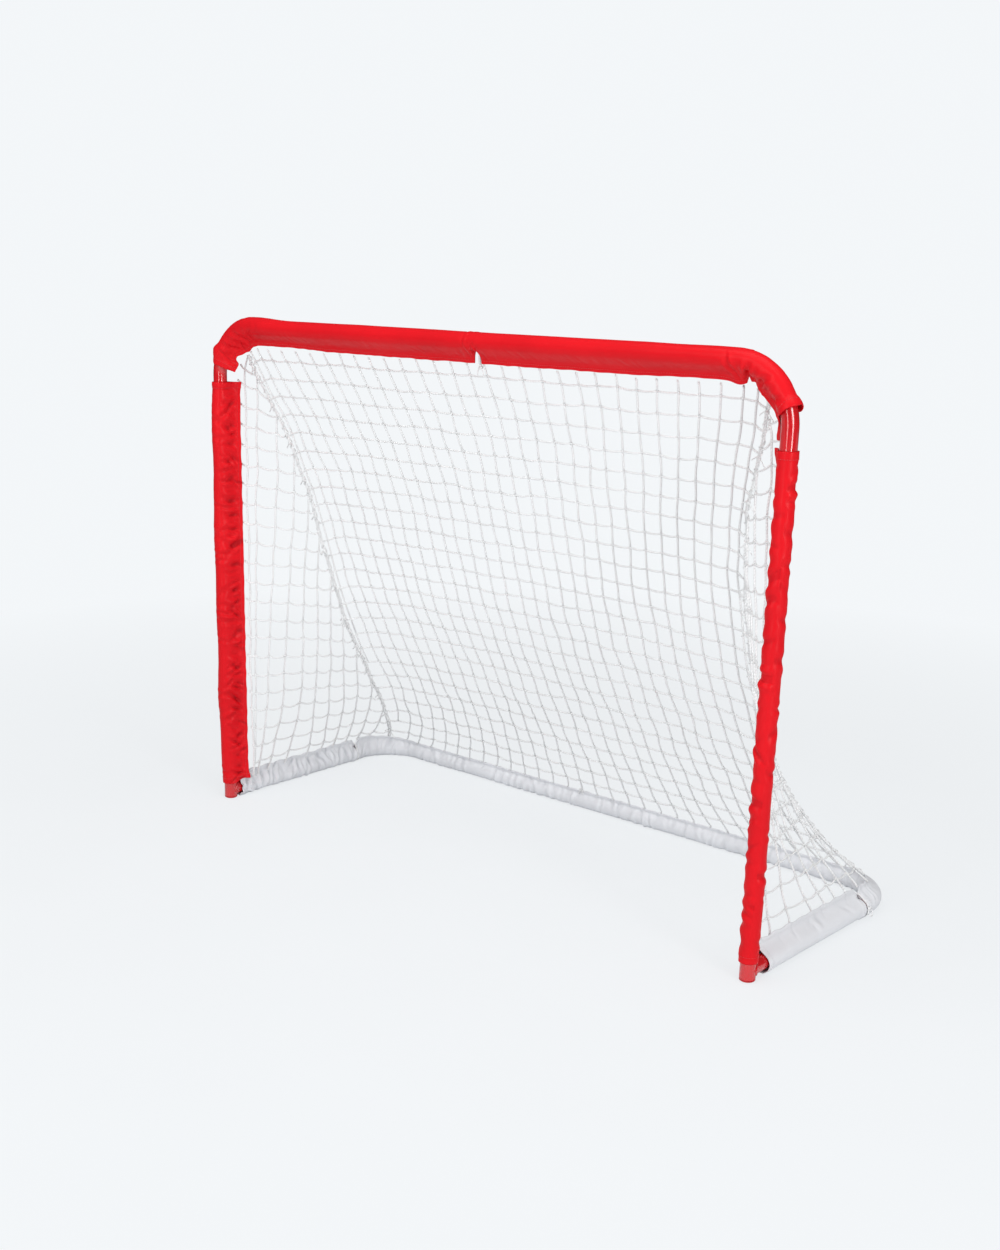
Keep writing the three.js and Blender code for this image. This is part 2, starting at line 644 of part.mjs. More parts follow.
/**
 * A net as one solid: each gap is a convex polygon on the flat net, ringed by
 * half a cord inside and by a whole cord along the net's edge. The flat points
 * are then carried to both faces of the hanging net.
 */
function netSolid(gaps, hang) {
  const key = ([x, y]) => `${x.toFixed(3)},${y.toFixed(3)}`;
  const edgeKey = (p, q) => [key(p), key(q)].sort().join('|');
  const edgeUse = new Map();
  for (const gap of gaps) {
    gap.forEach((p, i) => {
      const name = edgeKey(p, gap[(i + 1) % gap.length]);
      edgeUse.set(name, (edgeUse.get(name) || 0) + 1);
    });
  }
  const points = [];
  const triangles = [];
  const index = new Map();
  const pair = (flat) => {
    if (!index.has(key(flat))) {
      const { point, normal } = hang(flat);
      index.set(key(flat), points.length);
      points.push(point.clone().addScaledVector(normal, NET_CORD / 2));
      points.push(point.clone().addScaledVector(normal, -NET_CORD / 2));
    }
    return index.get(key(flat));
  };
  const wall = (p, q) => {
    const [a, b] = [pair(p), pair(q)];
    triangles.push([a, a + 1, b + 1], [a, b + 1, b]);
  };
  for (const gap of gaps) {
    const isEdge = gap.map((p, i) => edgeUse.get(edgeKey(p, gap[(i + 1) % gap.length])) === 1);
    const hole = insetPolygon(gap, isEdge.map((edge) => (edge ? NET_CORD : NET_CORD / 2)));
    const open = polygonArea(hole) > NET_CORD ** 2 && hole.every((p, i) => {
      const [next, from, to] = [hole[(i + 1) % hole.length], gap[i], gap[(i + 1) % gap.length]];
      return (next[0] - p[0]) * (to[0] - from[0]) + (next[1] - p[1]) * (to[1] - from[1]) > 0;
    });
    gap.forEach((p, i) => {
      const q = gap[(i + 1) % gap.length];
      if (isEdge[i]) wall(p, q);
      if (open) {
        const [r, s] = [hole[i], hole[(i + 1) % gap.length]];
        const [a, b, c, d] = [pair(p), pair(q), pair(s), pair(r)];
        triangles.push([a, b, c], [a, c, d], [a + 1, c + 1, b + 1], [a + 1, d + 1, c + 1]);
        wall(s, r);
      } else if (i > 0 && i + 1 < gap.length) {
        const [a, b, c] = [pair(gap[0]), pair(p), pair(q)];
        triangles.push([a, b, c], [a + 1, c + 1, b + 1]);
      }
    });
  }
  return closedGeometry(points, triangles);
}

/** The place and the normal of a hanging net at a flat point. */
function hangBy(surface, width, height) {
  const step = 1e-3;
  return ([x, y]) => {
    const [u, v] = [x / width, y / height];
    const [u0, u1] = [clamp01(u - step), clamp01(u + step)];
    const [v0, v1] = [clamp01(v - step), clamp01(v + step)];
    const across = surface(u1, v).sub(surface(u0, v));
    const down = surface(u, v1).sub(surface(u, v0));
    return { point: surface(u, v), normal: across.cross(down).normalize() };
  };
}

/** The back net's gaps, on a flat net of its real size. */
function backNetSolid() {
  const width = 2 * SEAM_PLACE;
  const height = sewnEdge(frontCloth, 0).distanceTo(sewnEdge(rearCloth, 0));
  const gaps = [];
  for (let row = 0; row < NET_ROWS; row += 1) {
    for (let column = 0; column < NET_COLUMNS; column += 1) {
      const [x0, x1] = [column, column + 1].map((n) => (width * n) / NET_COLUMNS);
      const [y0, y1] = [row, row + 1].map((n) => (height * n) / NET_ROWS);
      gaps.push([[x0, y0], [x1, y0], [x1, y1], [x0, y1]]);
    }
  }
  return netSolid(gaps, hangBy(backNet, width, height));
}

/** A side net's gaps: square mesh cut off by the slanting seam. */
function sideNetSolid(side) {
  const width = SIDE_START - SEAM_PLACE;
  const height = atHeight(NET_FOOT) - SEAM_PLACE;
  const gaps = [];
  const rows = NET_ROWS - 1;
  for (let row = 0; row < rows; row += 1) {
    for (let column = 0; column < SIDE_COLUMNS; column += 1) {
      const [x0, x1] = [column, column + 1].map((n) => (width * n) / SIDE_COLUMNS);
      const [y0, y1] = [row, row + 1].map((n) => (height * n) / rows);
      const square = [[x0, y0], [x1, y0], [x1, y1], [x0, y1]];
      const cutBySeam = clipPolygon(square, 1 / width, 1 / height, 1);
      const gap = clipPolygon(cutBySeam, 0, 1 / height, 1 - SIDE_APEX_TRIM);
      if (gap.length > 2 && polygonArea(gap) > 1) gaps.push(gap);
    }
  }
  const hang = ([x, y]) => {
    const place = (a, b) => {
      const up = clamp01(b / height);
      const room = Math.max(width * (1 - up), 1e-6);
      return sideNet(side, clamp01(a / room), up);
    };
    const room = width * (1 - clamp01(y / height));
    const [a0, a1] = [Math.max(x - 1, 0), Math.min(x + 1, room)];
    const [b0, b1] = [Math.max(y - 1, 0), Math.min(y + 1, height * (1 - SIDE_APEX_TRIM / 2))];
    const inRoom = (b) => Math.min(x, width * (1 - b / height));
    const across = place(a1, y).sub(place(a0, y));
    const rise = place(inRoom(b1), b1).sub(place(inRoom(b0), b0));
    return { point: place(x, y), normal: across.cross(rise).normalize() };
  };
  return netSolid(gaps, hang);
}

// -------------------------------------------------------------------- cords
/** A round cord through points, open or as a closed loop. */
function cord(path, radius, reference, closed = false) {
  const sections = path.map((point, i) => {
    const before = path[closed ? (i + path.length - 1) % path.length : Math.max(i - 1, 0)];
    const after = path[closed ? (i + 1) % path.length : Math.min(i + 1, path.length - 1)];
    const tangent = after.clone().sub(before).normalize();
    const normal = reference.clone().addScaledVector(tangent, -reference.dot(tangent)).normalize();
    const binormal = new THREE.Vector3().crossVectors(tangent, normal);
    const flat = [];
    const ring = [];
    for (let k = 0; k < CORD_SIDES; k += 1) {
      const angle = (2 * Math.PI * k) / CORD_SIDES;
      flat.push(new THREE.Vector2(Math.cos(angle), Math.sin(angle)));
      ring.push(
        point
          .clone()
          .addScaledVector(normal, radius * Math.cos(angle))
          .addScaledVector(binormal, radius * Math.sin(angle)),
      );
    }
    return { ring, flat };
  });
  if (!closed) return throughSections(sections);
  const points = sections.flatMap(({ ring }) => ring);
  const triangles = [];
  for (let s = 0; s < path.length; s += 1) {
    const t = (s + 1) % path.length;
    for (let k = 0; k < CORD_SIDES; k += 1) {
      const m = (k + 1) % CORD_SIDES;
      const [a, b] = [s * CORD_SIDES + k, s * CORD_SIDES + m];
      const [c, d] = [t * CORD_SIDES + m, t * CORD_SIDES + k];
      triangles.push([a, b, c], [a, c, d]);
    }
  }
  return closedGeometry(points, triangles);
}

/** The cord that laces the back net to a side net, down the seam. */
function seamLacing(side) {
  const path = Array.from({ length: LACING_STEPS + 1 }, (_, i) =>
    seam(side, lerp(SIDE_APEX_TRIM, 1 - SIDE_APEX_TRIM / 2, i / LACING_STEPS)),
  );
  return cord(path, LACING_RADIUS, new THREE.Vector3(side, 0, 0));
}

/** A loop of cord in a notch, from the tube to the net's edge. */
function notchTie(cloth, distance) {
  const radius = TIE_CORD / 2;
  const frame = cloth.bar(distance);
  const near = cloth.radius - CLOTH + radius;
  const far = flapReach(cloth, frame) - radius;
  const out = roundTube(frame, flapAngle(cloth, frame));
  const across = new THREE.Vector3().crossVectors(frame.tangent, out);
  const path = Array.from({ length: TIE_STEPS }, (_, i) => {
    const turn = (2 * Math.PI * i) / TIE_STEPS;
    return frame.point
      .clone()
      .addScaledVector(out, (near + far) / 2 + ((far - near) / 2) * Math.cos(turn))
      .addScaledVector(across, (TIE_WIDTH / 2) * Math.sin(turn));
  });
  return cord(path, radius, frame.tangent, true);
}

/** A loop of cord round the base tube, in the slot between two sleeves. */
function cornerTie(side) {
  const frame = base(side * behindPost(BASE_DEPTH - CORNER_TIE_SETBACK));
  const loop = TUBE_RADIUS / Math.cos(radians(CORNER_OF_SIDE)) + 1.5 * SEAT_GAP + TIE_CORD / 2;
  const path = Array.from({ length: TIE_STEPS }, (_, i) =>
    frame.point.clone().addScaledVector(roundTube(frame, (360 * i) / TIE_STEPS), loop),
  );
  return cord(path, TIE_CORD / 2, frame.tangent, true);
}

// ------------------------------------------------------------------- assembly
const group = new THREE.Group();

/** Adds a named piece to the goal. */
function add(name, geometry, material) {
  const mesh = new THREE.Mesh(geometry, material);
  mesh.name = name;
  group.add(mesh);
}

const postSocket = POST_JOINT - SEAT_GAP / 2;
const stubSocket = behindPost(STUB_REACH) - SEAT_GAP / 2;
const crossbarSocket = CROSSBAR_JOINT_X + SEAT_GAP / 2;
const rearSocket = REAR_JOINT_X - SEAT_GAP / 2;
const tieSlotFront = behindPost(BASE_DEPTH - CORNER_TIE_SETBACK - CORNER_TIE_SLOT / 2);
const tieSlotRear = behindPost(BASE_DEPTH - CORNER_TIE_SETBACK + CORNER_TIE_SLOT / 2);

add('top_corner_tube_left',
  plugTube(front, -postSocket, CROSSBAR_JOINT_X, [snapHole(snaps.crossbar), snapHole(snaps.post_left)]),
  PAINT);
add('top_corner_tube_right',
  socketTube(front, crossbarSocket, postSocket, [snapHole(snaps.crossbar), snapHole(snaps.post_right)]),
  PAINT);
add('base_corner_tube_left',
  socketTube(base, -stubSocket, rearSocket, [snapHole(snaps.rear), snapHole(snaps.base_left)]),
  PAINT);
add('base_corner_tube_right',
  plugTube(base, stubSocket, REAR_JOINT_X, [snapHole(snaps.rear), snapHole(snaps.base_right)]),
  PAINT);

const sleeveEnd = HALF_STRAIGHT + CORNER_LENGTH - CROSSBAR_SLEEVE_SHORT;
add('crossbar_sleeve',
  sleeve(frontCloth, -sleeveEnd, sleeveEnd, [notchCutter(frontCloth, snaps.crossbar.distance)]),
  RED_CLOTH);
add('base_sleeve_rear',
  sleeve(rearCloth, -tieSlotRear, tieSlotRear, [notchCutter(rearCloth, snaps.rear.distance)]),
  WHITE_CLOTH);
add('net_back', backNetSolid(), NET_YARN);
add('crossbar_tie', notchTie(frontCloth, snaps.crossbar.distance), NET_YARN);
add('rear_tie', notchTie(rearCloth, snaps.rear.distance), NET_YARN);

for (const [name, side] of [['left', -1], ['right', 1]]) {
  const topSnap = snaps[`post_${name}`];
  const baseSnap = snaps[`base_${name}`];
  add(`post_tube_${name}`, postTube(side, topSnap, baseSnap), PAINT);
  add(`post_foot_cap_${name}`, footCap(side), CAP_PLASTIC);
  add(`post_sleeve_${name}`,
    sleeve(frontCloth, side * (POST_JOINT - POST_SLEEVE_LAP[name]), side * atHeight(POST_SLEEVE_BOTTOM), [
      holeCutter(ACCESS_HOLE_RADIUS, front, topSnap.distance, topSnap.angle),
    ]),
    RED_CLOTH);
  add(`base_sleeve_${name}`,
    sleeve(rearCloth, side * tieSlotFront, side * behindPost(BASE_SLEEVE_START[name]), [
      holeCutter(ACCESS_HOLE_RADIUS, base, baseSnap.distance, baseSnap.angle),
    ]),
    WHITE_CLOTH);
  add(`net_side_${name}`, sideNetSolid(side), NET_YARN);
  add(`seam_lacing_${name}`, seamLacing(side), NET_YARN);
  add(`corner_tie_${name}`, cornerTie(side), NET_YARN);
}

for (const [name, snap] of Object.entries(snaps)) {
  add(`snap_button_${name}`, snapButton(snap), STEEL);
  add(`snap_clip_${name}`, snapClip(snap), STEEL);
}

export default group;
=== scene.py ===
"""Street and pond hockey goal: painted steel bars, sewn cloth sleeves and a knotted net.

Lengths are metres, +Z is up and the mouth faces -Y. Every tube, sleeve, net edge and
cord takes its place from the distance along one of two bent bars, measured from the
middle: the front bar (crossbar and posts) and the base bar (rear bar and sides).
"""

import logging
import math
from collections.abc import Callable
from dataclasses import dataclass, field
from enum import Enum

import bmesh
import bpy
import numpy as np
from mathutils import Matrix, Vector


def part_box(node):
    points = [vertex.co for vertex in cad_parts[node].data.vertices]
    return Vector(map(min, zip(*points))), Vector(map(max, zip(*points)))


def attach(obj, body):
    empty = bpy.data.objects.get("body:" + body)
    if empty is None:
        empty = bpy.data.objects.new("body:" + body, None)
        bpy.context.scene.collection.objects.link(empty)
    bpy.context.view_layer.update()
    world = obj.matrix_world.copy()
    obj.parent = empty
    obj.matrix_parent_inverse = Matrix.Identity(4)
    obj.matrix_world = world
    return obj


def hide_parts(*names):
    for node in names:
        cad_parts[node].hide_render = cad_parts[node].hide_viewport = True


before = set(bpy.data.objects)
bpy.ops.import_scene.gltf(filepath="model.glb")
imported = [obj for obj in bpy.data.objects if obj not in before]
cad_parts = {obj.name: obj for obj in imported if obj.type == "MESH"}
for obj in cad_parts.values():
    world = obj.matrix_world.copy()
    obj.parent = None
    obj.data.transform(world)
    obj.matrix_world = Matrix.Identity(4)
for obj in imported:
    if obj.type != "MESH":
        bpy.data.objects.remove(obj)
log = logging.getLogger("goal")
Array = np.ndarray
Piece = bpy.types.Object
Material = bpy.types.Material
Socket = bpy.types.NodeSocket
Triple = tuple[float, float, float]
ACROSS = np.array([1.0, 0.0, 0.0])
BACK = np.array([0.0, 1.0, 0.0])
UP = np.array([0.0, 0.0, 1.0])
BODY = "frame"


class Side(Enum):
    """The two halves of the goal, with the sign of X on each."""

    LEFT = -1
    RIGHT = 1

    @property
    def word(self) -> str:
        """Name of the side in a piece's name."""
        return self.name.lower()


class Bar(Enum):
    """The two bent bars."""

    FRONT = "front"
    BASE = "base"


# ---- small helpers
def lerp(a: Array, b: Array, t: Array) -> Array:
    """Blend from a at 0 to b at 1."""
    return a + (b - a) * t


def unit(v: Array) -> Array:
    """Vectors scaled to length one."""
    return v / np.maximum(np.linalg.norm(v, axis=-1, keepdims=True), 1e-12)


def ease(x: Array, low: float, high: float) -> Array:
    """Smooth step from 0 at low to 1 at high."""
    t = np.clip((x - low) / (high - low), 0.0, 1.0)
    return t * t * (3 - 2 * t)


def bump_at(x: Array, centre: float, width: float) -> Array:
    """Bell of height one at the centre, gone beyond about two widths."""
    return np.exp(-(((x - centre) / width) ** 2))


def turns(count: int) -> Array:
    """Angles of a full round in equal steps."""
    return np.arange(count) * 2 * np.pi / count


def walked(line: Array) -> Array:
    """Distance walked along a line of points, 0 at its first."""
    return np.concatenate([[0.0], np.cumsum(np.linalg.norm(np.diff(line, axis=0), axis=1))])


def noise(points: Array, seed: int) -> Array:
    """Smooth noise from -1 to 1.

    Each corner of a unit lattice gets a value hashed from its place and the seed,
    and a point takes the eased blend of the eight corners round it.

    Args:
        points: Places on the lattice, with three numbers in the last axis.
        seed: Chooses another pattern.

    Returns:
        One value for each point.
    """
    cell = np.floor(points).astype(np.int64)
    part = points - cell
    soft = part * part * (3 - 2 * part)
    total = np.zeros(points.shape[:-1])
    for corner in np.ndindex(2, 2, 2):
        c = cell + np.array(corner)
        mixed = c[..., 0] * 374761393 + c[..., 1] * 668265263 + c[..., 2] * 974634211
        mixed = (mixed + seed * 1274126177) & 0xFFFFFFFF
        mixed = ((mixed ^ (mixed >> 13)) * 1274126177) & 0xFFFFFFFF
        mixed = ((mixed ^ (mixed >> 16)) * 668265263) & 0xFFFFFFFF
        weight = np.prod(np.where(np.array(corner) == 1, soft, 1 - soft), axis=-1)
        total += weight * ((mixed ^ (mixed >> 15)) / 2.0**31 - 1.0)
    return total


# ---- meshes by arrays
def grid_quads(rows: int, columns: int, wrap_rows: bool, wrap_columns: bool) -> Array:
    """Four corner numbers for each face of a grid of points.

    Args:
        rows: Points down the grid.
        columns: Points along a row.
        wrap_rows: The last row joins the first.
        wrap_columns: The last column joins the first.

    Returns:
        An array of faces with four point numbers each.
    """
    r = np.arange(rows if wrap_rows else rows - 1)[:, None]
    c = np.arange(columns if wrap_columns else columns - 1)[None, :]
    r2, c2 = (r + 1) % rows, (c + 1) % columns
    corners = [r * columns + c, r * columns + c2, r2 * columns + c2, r2 * columns + c]
    whole = [np.broadcast_to(k, (r.size, c.size)) for k in corners]
    return np.stack(whole, -1).reshape(-1, 4)


def new_piece(name: str, points: Array, quads: Array, ends: Array | None = None,
              uv: Array | None = None, smooth: bool = True) -> Piece:
    """Puts points and faces into a mesh object that sits at the origin.

    Args:
        name: The piece's name.
        points: Places in metres, one row each.
        quads: Faces with four corners.
        ends: More faces, with another number of corners.
        uv: Two numbers for each corner of each quad, in metres of cloth or cord.
        smooth: Shades the surface as rounded.

    Returns:
        The linked object.
    """
    faces = quads.tolist() + ([] if ends is None else ends.tolist())
    mesh = bpy.data.meshes.new(name)
    mesh.from_pydata(points.reshape(-1, 3).tolist(), [], faces)
    if uv is not None:
        layer = mesh.uv_layers.new(name="cloth")
        flat = np.zeros(2 * len(mesh.loops))
        flat[: uv.size] = uv.ravel()
        layer.data.foreach_set("uv", flat)
    mesh.polygons.foreach_set("use_smooth", np.full(len(mesh.polygons), smooth))
    mesh.update()
    piece = bpy.data.objects.new(name, mesh)
    bpy.context.scene.collection.objects.link(piece)
    return piece


def face_outwards(piece: Piece) -> None:
    """Turns the faces of a closed mesh round if its volume comes out negative.

    The volume is a sixth of the sum of a . (b x c) over all triangles a, b, c.

    Args:
        piece: The piece.
    """
    mesh = piece.data
    mesh.calc_loop_triangles()
    corners = np.empty(3 * len(mesh.loop_triangles), np.int32)
    mesh.loop_triangles.foreach_get("vertices", corners)
    points = np.empty(3 * len(mesh.vertices))
    mesh.vertices.foreach_get("co", points)
    a, b, c = points.reshape(-1, 3)[corners.reshape(-1, 3)].transpose(1, 0, 2)
    if np.einsum("ij,ij->", a, np.cross(b, c)) < 0:
        mesh.flip_normals()


def weld_points(piece: Piece) -> None:
    """Merges points that share a place, as at the poles of a turned piece.

    Args:
        piece: The piece.
    """
    work = bmesh.new()
    work.from_mesh(piece.data)
    bmesh.ops.remove_doubles(work, verts=work.verts, dist=1e-7)
    work.to_mesh(piece.data)
    work.free()


def sweep(name: str, paths: Array, radius: Array, reference: Array, sides: int = 6,
          closed: bool = False) -> Piece:
    """Round cords along many paths at once.

    A ring of points stands square to each path: its centre plus the radius times
    cos and sin of the turn, along the reference made square to the path and the
    direction square to both.

    Args:
        name: The piece's name.
        paths: Points, cords by steps by three numbers.
        radius: Radius of the cord, a number or one for each step.
        reference: Direction that stays off the paths' own, for each cord or for all.
        sides: Points round a ring.
        closed: Each path is a loop.

    Returns:
        One object with all the cords.
    """
    count, steps = paths.shape[:2]
    if closed:
        tangent = np.roll(paths, -1, 1) - np.roll(paths, 1, 1)
    else:
        tangent = np.gradient(paths, axis=1)
    tangent = unit(tangent)
    ref = np.broadcast_to(reference, paths.shape)
    normal = unit(ref - np.sum(ref * tangent, -1, keepdims=True) * tangent)
    binormal = np.cross(tangent, normal)
    turn = turns(sides)[:, None]
    size = np.broadcast_to(radius, (count, steps))[..., None, None]
    round_it = normal[:, :, None] * np.cos(turn) + binormal[:, :, None] * np.sin(turn)
    points = paths[:, :, None] + size * round_it
    one = grid_quads(steps, sides, closed, True)[:, ::-1]
    quads = (np.arange(count)[:, None, None] * steps * sides + one).reshape(-1, 4)
    ends = None
    if not closed:
        start = np.arange(sides)
        finish = (steps - 1) * sides + start[::-1]
        first = np.arange(count)[:, None] * steps * sides
        ends = np.concatenate([first + start, first + finish])
    last = paths[:, :1] if closed else paths[:, -1:]
    length = np.linalg.norm(np.diff(paths, axis=1, append=last), axis=-1)
    along = np.concatenate([np.zeros((count, 1)), np.cumsum(length, 1)], 1)
    rows = steps if closed else steps - 1
    u0, u1 = along[:, :rows, None], along[:, 1:rows + 1, None]
    v0 = np.arange(sides) / sides
    v1 = v0 + 1 / sides
    shape = (count, rows, sides)
    corner = [(u1, v0), (u1, v1), (u0, v1), (u0, v0)]
    uv = np.stack([np.stack([np.broadcast_to(u, shape), np.broadcast_to(v, shape)], -1)
                   for u, v in corner], -2)
    return new_piece(name, points, quads, ends, uv)


def lumps(name: str, centres: Array, axes: Array, sizes: Array, around: int = 8,
          rings: int = 5) -> Piece:
    """Rounded lumps, such as knots: spheres stretched along their own axes.

    Args:
        name: The piece's name.
        centres: Places of the lumps.
        axes: Three directions for each lump.
        sizes: Half sizes along the three directions, for each lump or for all.
        around: Points round a lump.
        rings: Rings from pole to pole.

    Returns:
        One object with all the lumps.
    """
    tilt = (np.arange(rings) + 0.5) * np.pi / rings
    turn = turns(around)
    wide, high = np.sin(tilt)[:, None], np.cos(tilt)[:, None]
    ball = [wide * np.cos(turn), wide * np.sin(turn), high + 0 * turn]
    ball = np.stack(ball, -1).reshape(-1, 3)
    scaled = ball[None] * np.broadcast_to(sizes, centres.shape)[:, None]
    points = centres[:, None] + np.einsum("nkj,nji->nki", scaled, axes)
    first = np.arange(len(centres))[:, None, None] * rings * around
    quads = (first + grid_quads(rings, around, False, True)[:, ::-1]).reshape(-1, 4)
    top = first[:, 0] + np.arange(around)
    bottom = first[:, 0] + (rings - 1) * around + np.arange(around)[::-1]
    return new_piece(name, points, quads, np.concatenate([top, bottom]))


def join(name: str, pieces: list[Piece]) -> Piece:
    """Joins mesh objects into one piece.

    Args:
        name: The piece's name.
        pieces: What is joined; the first one takes in the others.

    Returns:
        The joined piece.
    """
    with bpy.context.temp_override(active_object=pieces[0], object=pieces[0],
                                   selected_editable_objects=pieces, selected_objects=pieces):
        bpy.ops.object.join()
    pieces[0].name = name
    pieces[0].data.name = name
    return pieces[0]


def place(piece: Piece, material: Material, slot: str, *nodes: str) -> Piece:
    """Gives a finished piece its material and its body.

    Args:
        piece: The piece.
        material: Its material.
        slot: Not used.
        *nodes: The CAD nodes that it stands for.

    Returns:
        The piece.
    """
    piece.data.materials.clear()
    piece.data.materials.append(material)
    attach(piece, BODY)
    if nodes:
        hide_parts(*nodes)
    count = len(piece.data.polygons)
    log.info("%s: %d faces, stands for %s", piece.name, count, nodes or "nothing")
    return piece


# ---- finishes
class Graph:
    """A material's node tree, built in short calls."""

    def __init__(self, name: str) -> None:
        """Starts a material that holds one Principled shader.

        Args:
            name: The material's name.
        """
        self.material = bpy.data.materials.new(name)
        self.material.use_nodes = True
        self.nodes = self.material.node_tree.nodes
        self.links = self.material.node_tree.links
        self.shader = self.nodes["Principled BSDF"]
        self.here = self.add("ShaderNodeTexCoord").outputs["Object"]

    def add(self, kind: str, inputs: dict | None = None, **settings: object) -> bpy.types.Node:
        """Adds a node.

        Args:
            kind: Blender's name of the node type.
            inputs: A value or an output socket for each input, by its name or number.
            **settings: Properties of the node itself.

        Returns:
            The new node.
        """
        node = self.nodes.new(kind)
        for key, value in settings.items():
            setattr(node, key, value)
        for key, value in (inputs or {}).items():
            self.feed(node.inputs[key], value)
        return node

    def feed(self, socket: Socket, value: object) -> None:
        """Links an output socket to an input, or sets the input's own value.

        Args:
            socket: The input.
            value: An output socket or a value.
        """
        if isinstance(value, Socket):
            self.links.new(value, socket)
        else:
            socket.default_value = value

    def set(self, **inputs: object) -> None:
        """Feeds the shader's inputs; an underscore in a name stands for a space."""
        for key, value in inputs.items():
            self.feed(self.shader.inputs[key.replace("_", " ")], value)

    def noise(self, scale: float, detail: float = 3.0, vector: Socket | None = None) -> Socket:
        """A noise texture's value at a scale in features for each metre."""
        inputs = {"Vector": vector or self.here, "Scale": scale, "Detail": detail}
        return self.add("ShaderNodeTexNoise", inputs).outputs["Fac"]

    def bands(self, vector: Socket, axis: str, scale: float, distortion: float,
              detail: float) -> Socket:
        """A wave texture's value: bands square to an axis."""
        inputs = {"Vector": vector, "Scale": scale, "Distortion": distortion, "Detail": detail}
        node = self.add("ShaderNodeTexWave", inputs, wave_type="BANDS", bands_direction=axis)
        return node.outputs["Fac"]

    def stretched(self, vector: Socket, scale: Triple, turn: float = 0.0) -> Socket:
        """A vector scaled along its axes and turned about the last one."""
        inputs = {"Vector": vector, "Scale": scale, "Rotation": (0.0, 0.0, turn)}
        return self.add("ShaderNodeMapping", inputs).outputs["Vector"]

    def surface(self) -> Socket:
        """The piece's own map, in metres of cloth or cord."""
        return self.add("ShaderNodeUVMap", uv_map="cloth").outputs["UV"]

    def ramp(self, value: Socket, low: float, high: float, to_low: float,
             to_high: float) -> Socket:
        """A value carried from one range to another, held at its ends."""
        inputs = {"Value": value, "From Min": low, "From Max": high, "To Min": to_low,
                  "To Max": to_high}
        return self.add("ShaderNodeMapRange", inputs).outputs["Result"]

    def mix(self, factor: object, a: object, b: object) -> Socket:
        """A blend of two colours."""
        return self.add("ShaderNodeMix", {0: factor, 6: a, 7: b}, data_type="RGBA").outputs[2]

    def math(self, operation: str, a: object, b: object = 0.0) -> Socket:
        """One sum, product or other operation on two values."""
        return self.add("ShaderNodeMath", {0: a, 1: b}, operation=operation).outputs[0]

    def bump(self, height: Socket, distance: float, strength: float,
             under: Socket | None = None) -> Socket:
        """A bumped normal from a height.

        Args:
            height: The height, from 0 to 1.
            distance: Metres that a height of 1 stands for.
            strength: Share of the full bump.
            under: Another bump that it lies over.

        Returns:
            The normal.
        """
        inputs = {"Height": height, "Distance": distance, "Strength": strength}
        if under is not None:
            inputs["Normal"] = under
        return self.add("ShaderNodeBump", inputs).outputs["Normal"]


def tone(colour: Triple, share: float = 1.0) -> tuple[float, ...]:
    """A colour scaled in brightness, with full alpha."""
    return tuple(min(1.0, c * share) for c in colour) + (1.0,)


@dataclass(frozen=True)
class CoatedCloth:
    """Woven nylon with a smooth coating, as the sleeves are cut from."""

    name: str
    colour: Triple
    # Colour of the painted shade in the creases.
    crease_shade: Triple
    roughness: float
    sheen: float
    coat: float
    thread: float = 0.0006

    def material(self) -> Material:
        """Builds the cloth: painted shade in the creases, a fine weave and small crinkles.

        Returns:
            The material.
        """
        g = Graph(self.name)
        cloth = g.surface()
        # The attribute gives how much painted shade darkens the colour in each crease.
        depth = g.add("ShaderNodeAttribute", attribute_name="crease_shade").outputs["Fac"]
        cloud = g.ramp(g.noise(9.0, 4.0), 0.35, 0.65, 0.0, 1.0)
        mottled = g.mix(cloud, tone(self.colour, 0.95), tone(self.colour, 1.04))
        g.set(Base_Color=g.mix(g.ramp(depth, 0.15, 0.9, 0.0, 0.65), mottled, tone(self.crease_shade)))
        g.set(Roughness=g.ramp(g.noise(55.0, 5.0), 0.3, 0.7, self.roughness - 0.06,
                               self.roughness + 0.08))
        g.set(Sheen_Weight=self.sheen, Sheen_Roughness=0.45, Coat_Weight=self.coat,
              Coat_Roughness=0.27, Specular_IOR_Level=0.03)
        weave = g.math("MAXIMUM", *(g.bands(cloth, axis, 1 / (20 * self.thread), 0.6, 1.0)
                                    for axis in "XY"))
        crinkle = g.bump(g.noise(70.0, 5.0), 0.0012, 0.5)
        fine = g.bump(g.noise(260.0, 3.0), 0.0004, 0.3, crinkle)
        g.set(Normal=g.bump(weave, 0.00006, 0.3, fine))
        return g.material


@dataclass(frozen=True)
class GlossPaint:
    """Stoved paint on the steel tube, with a clear gloss."""

    name: str = "gloss_paint"
    colour: Triple = (0.60, 0.006, 0.011)
    roughness: float = 0.16

    def material(self) -> Material:
        """Builds the paint: slight flow marks, fine scuffs and a clear top layer.

        Returns:
            The material.
        """
        g = Graph(self.name)
        drift = g.ramp(g.noise(14.0, 3.0), 0.3, 0.7, 0.0, 1.0)
        g.set(Base_Color=g.mix(drift, tone(self.colour, 0.93), tone(self.colour, 1.05)))
        scuff = g.noise(420.0, 6.0, g.stretched(g.here, (1.0, 1.0, 0.08)))
        g.set(Roughness=g.ramp(scuff, 0.45, 0.75, self.roughness, self.roughness + 0.2))
        g.set(Coat_Weight=0.9, Coat_IOR=1.7, Coat_Roughness=0.03, Specular_IOR_Level=0.3)
        flow = g.bump(g.noise(240.0, 2.0), 0.0004, 0.12)
        g.set(Normal=g.bump(scuff, 0.0001, 0.1, flow))
        return g.material


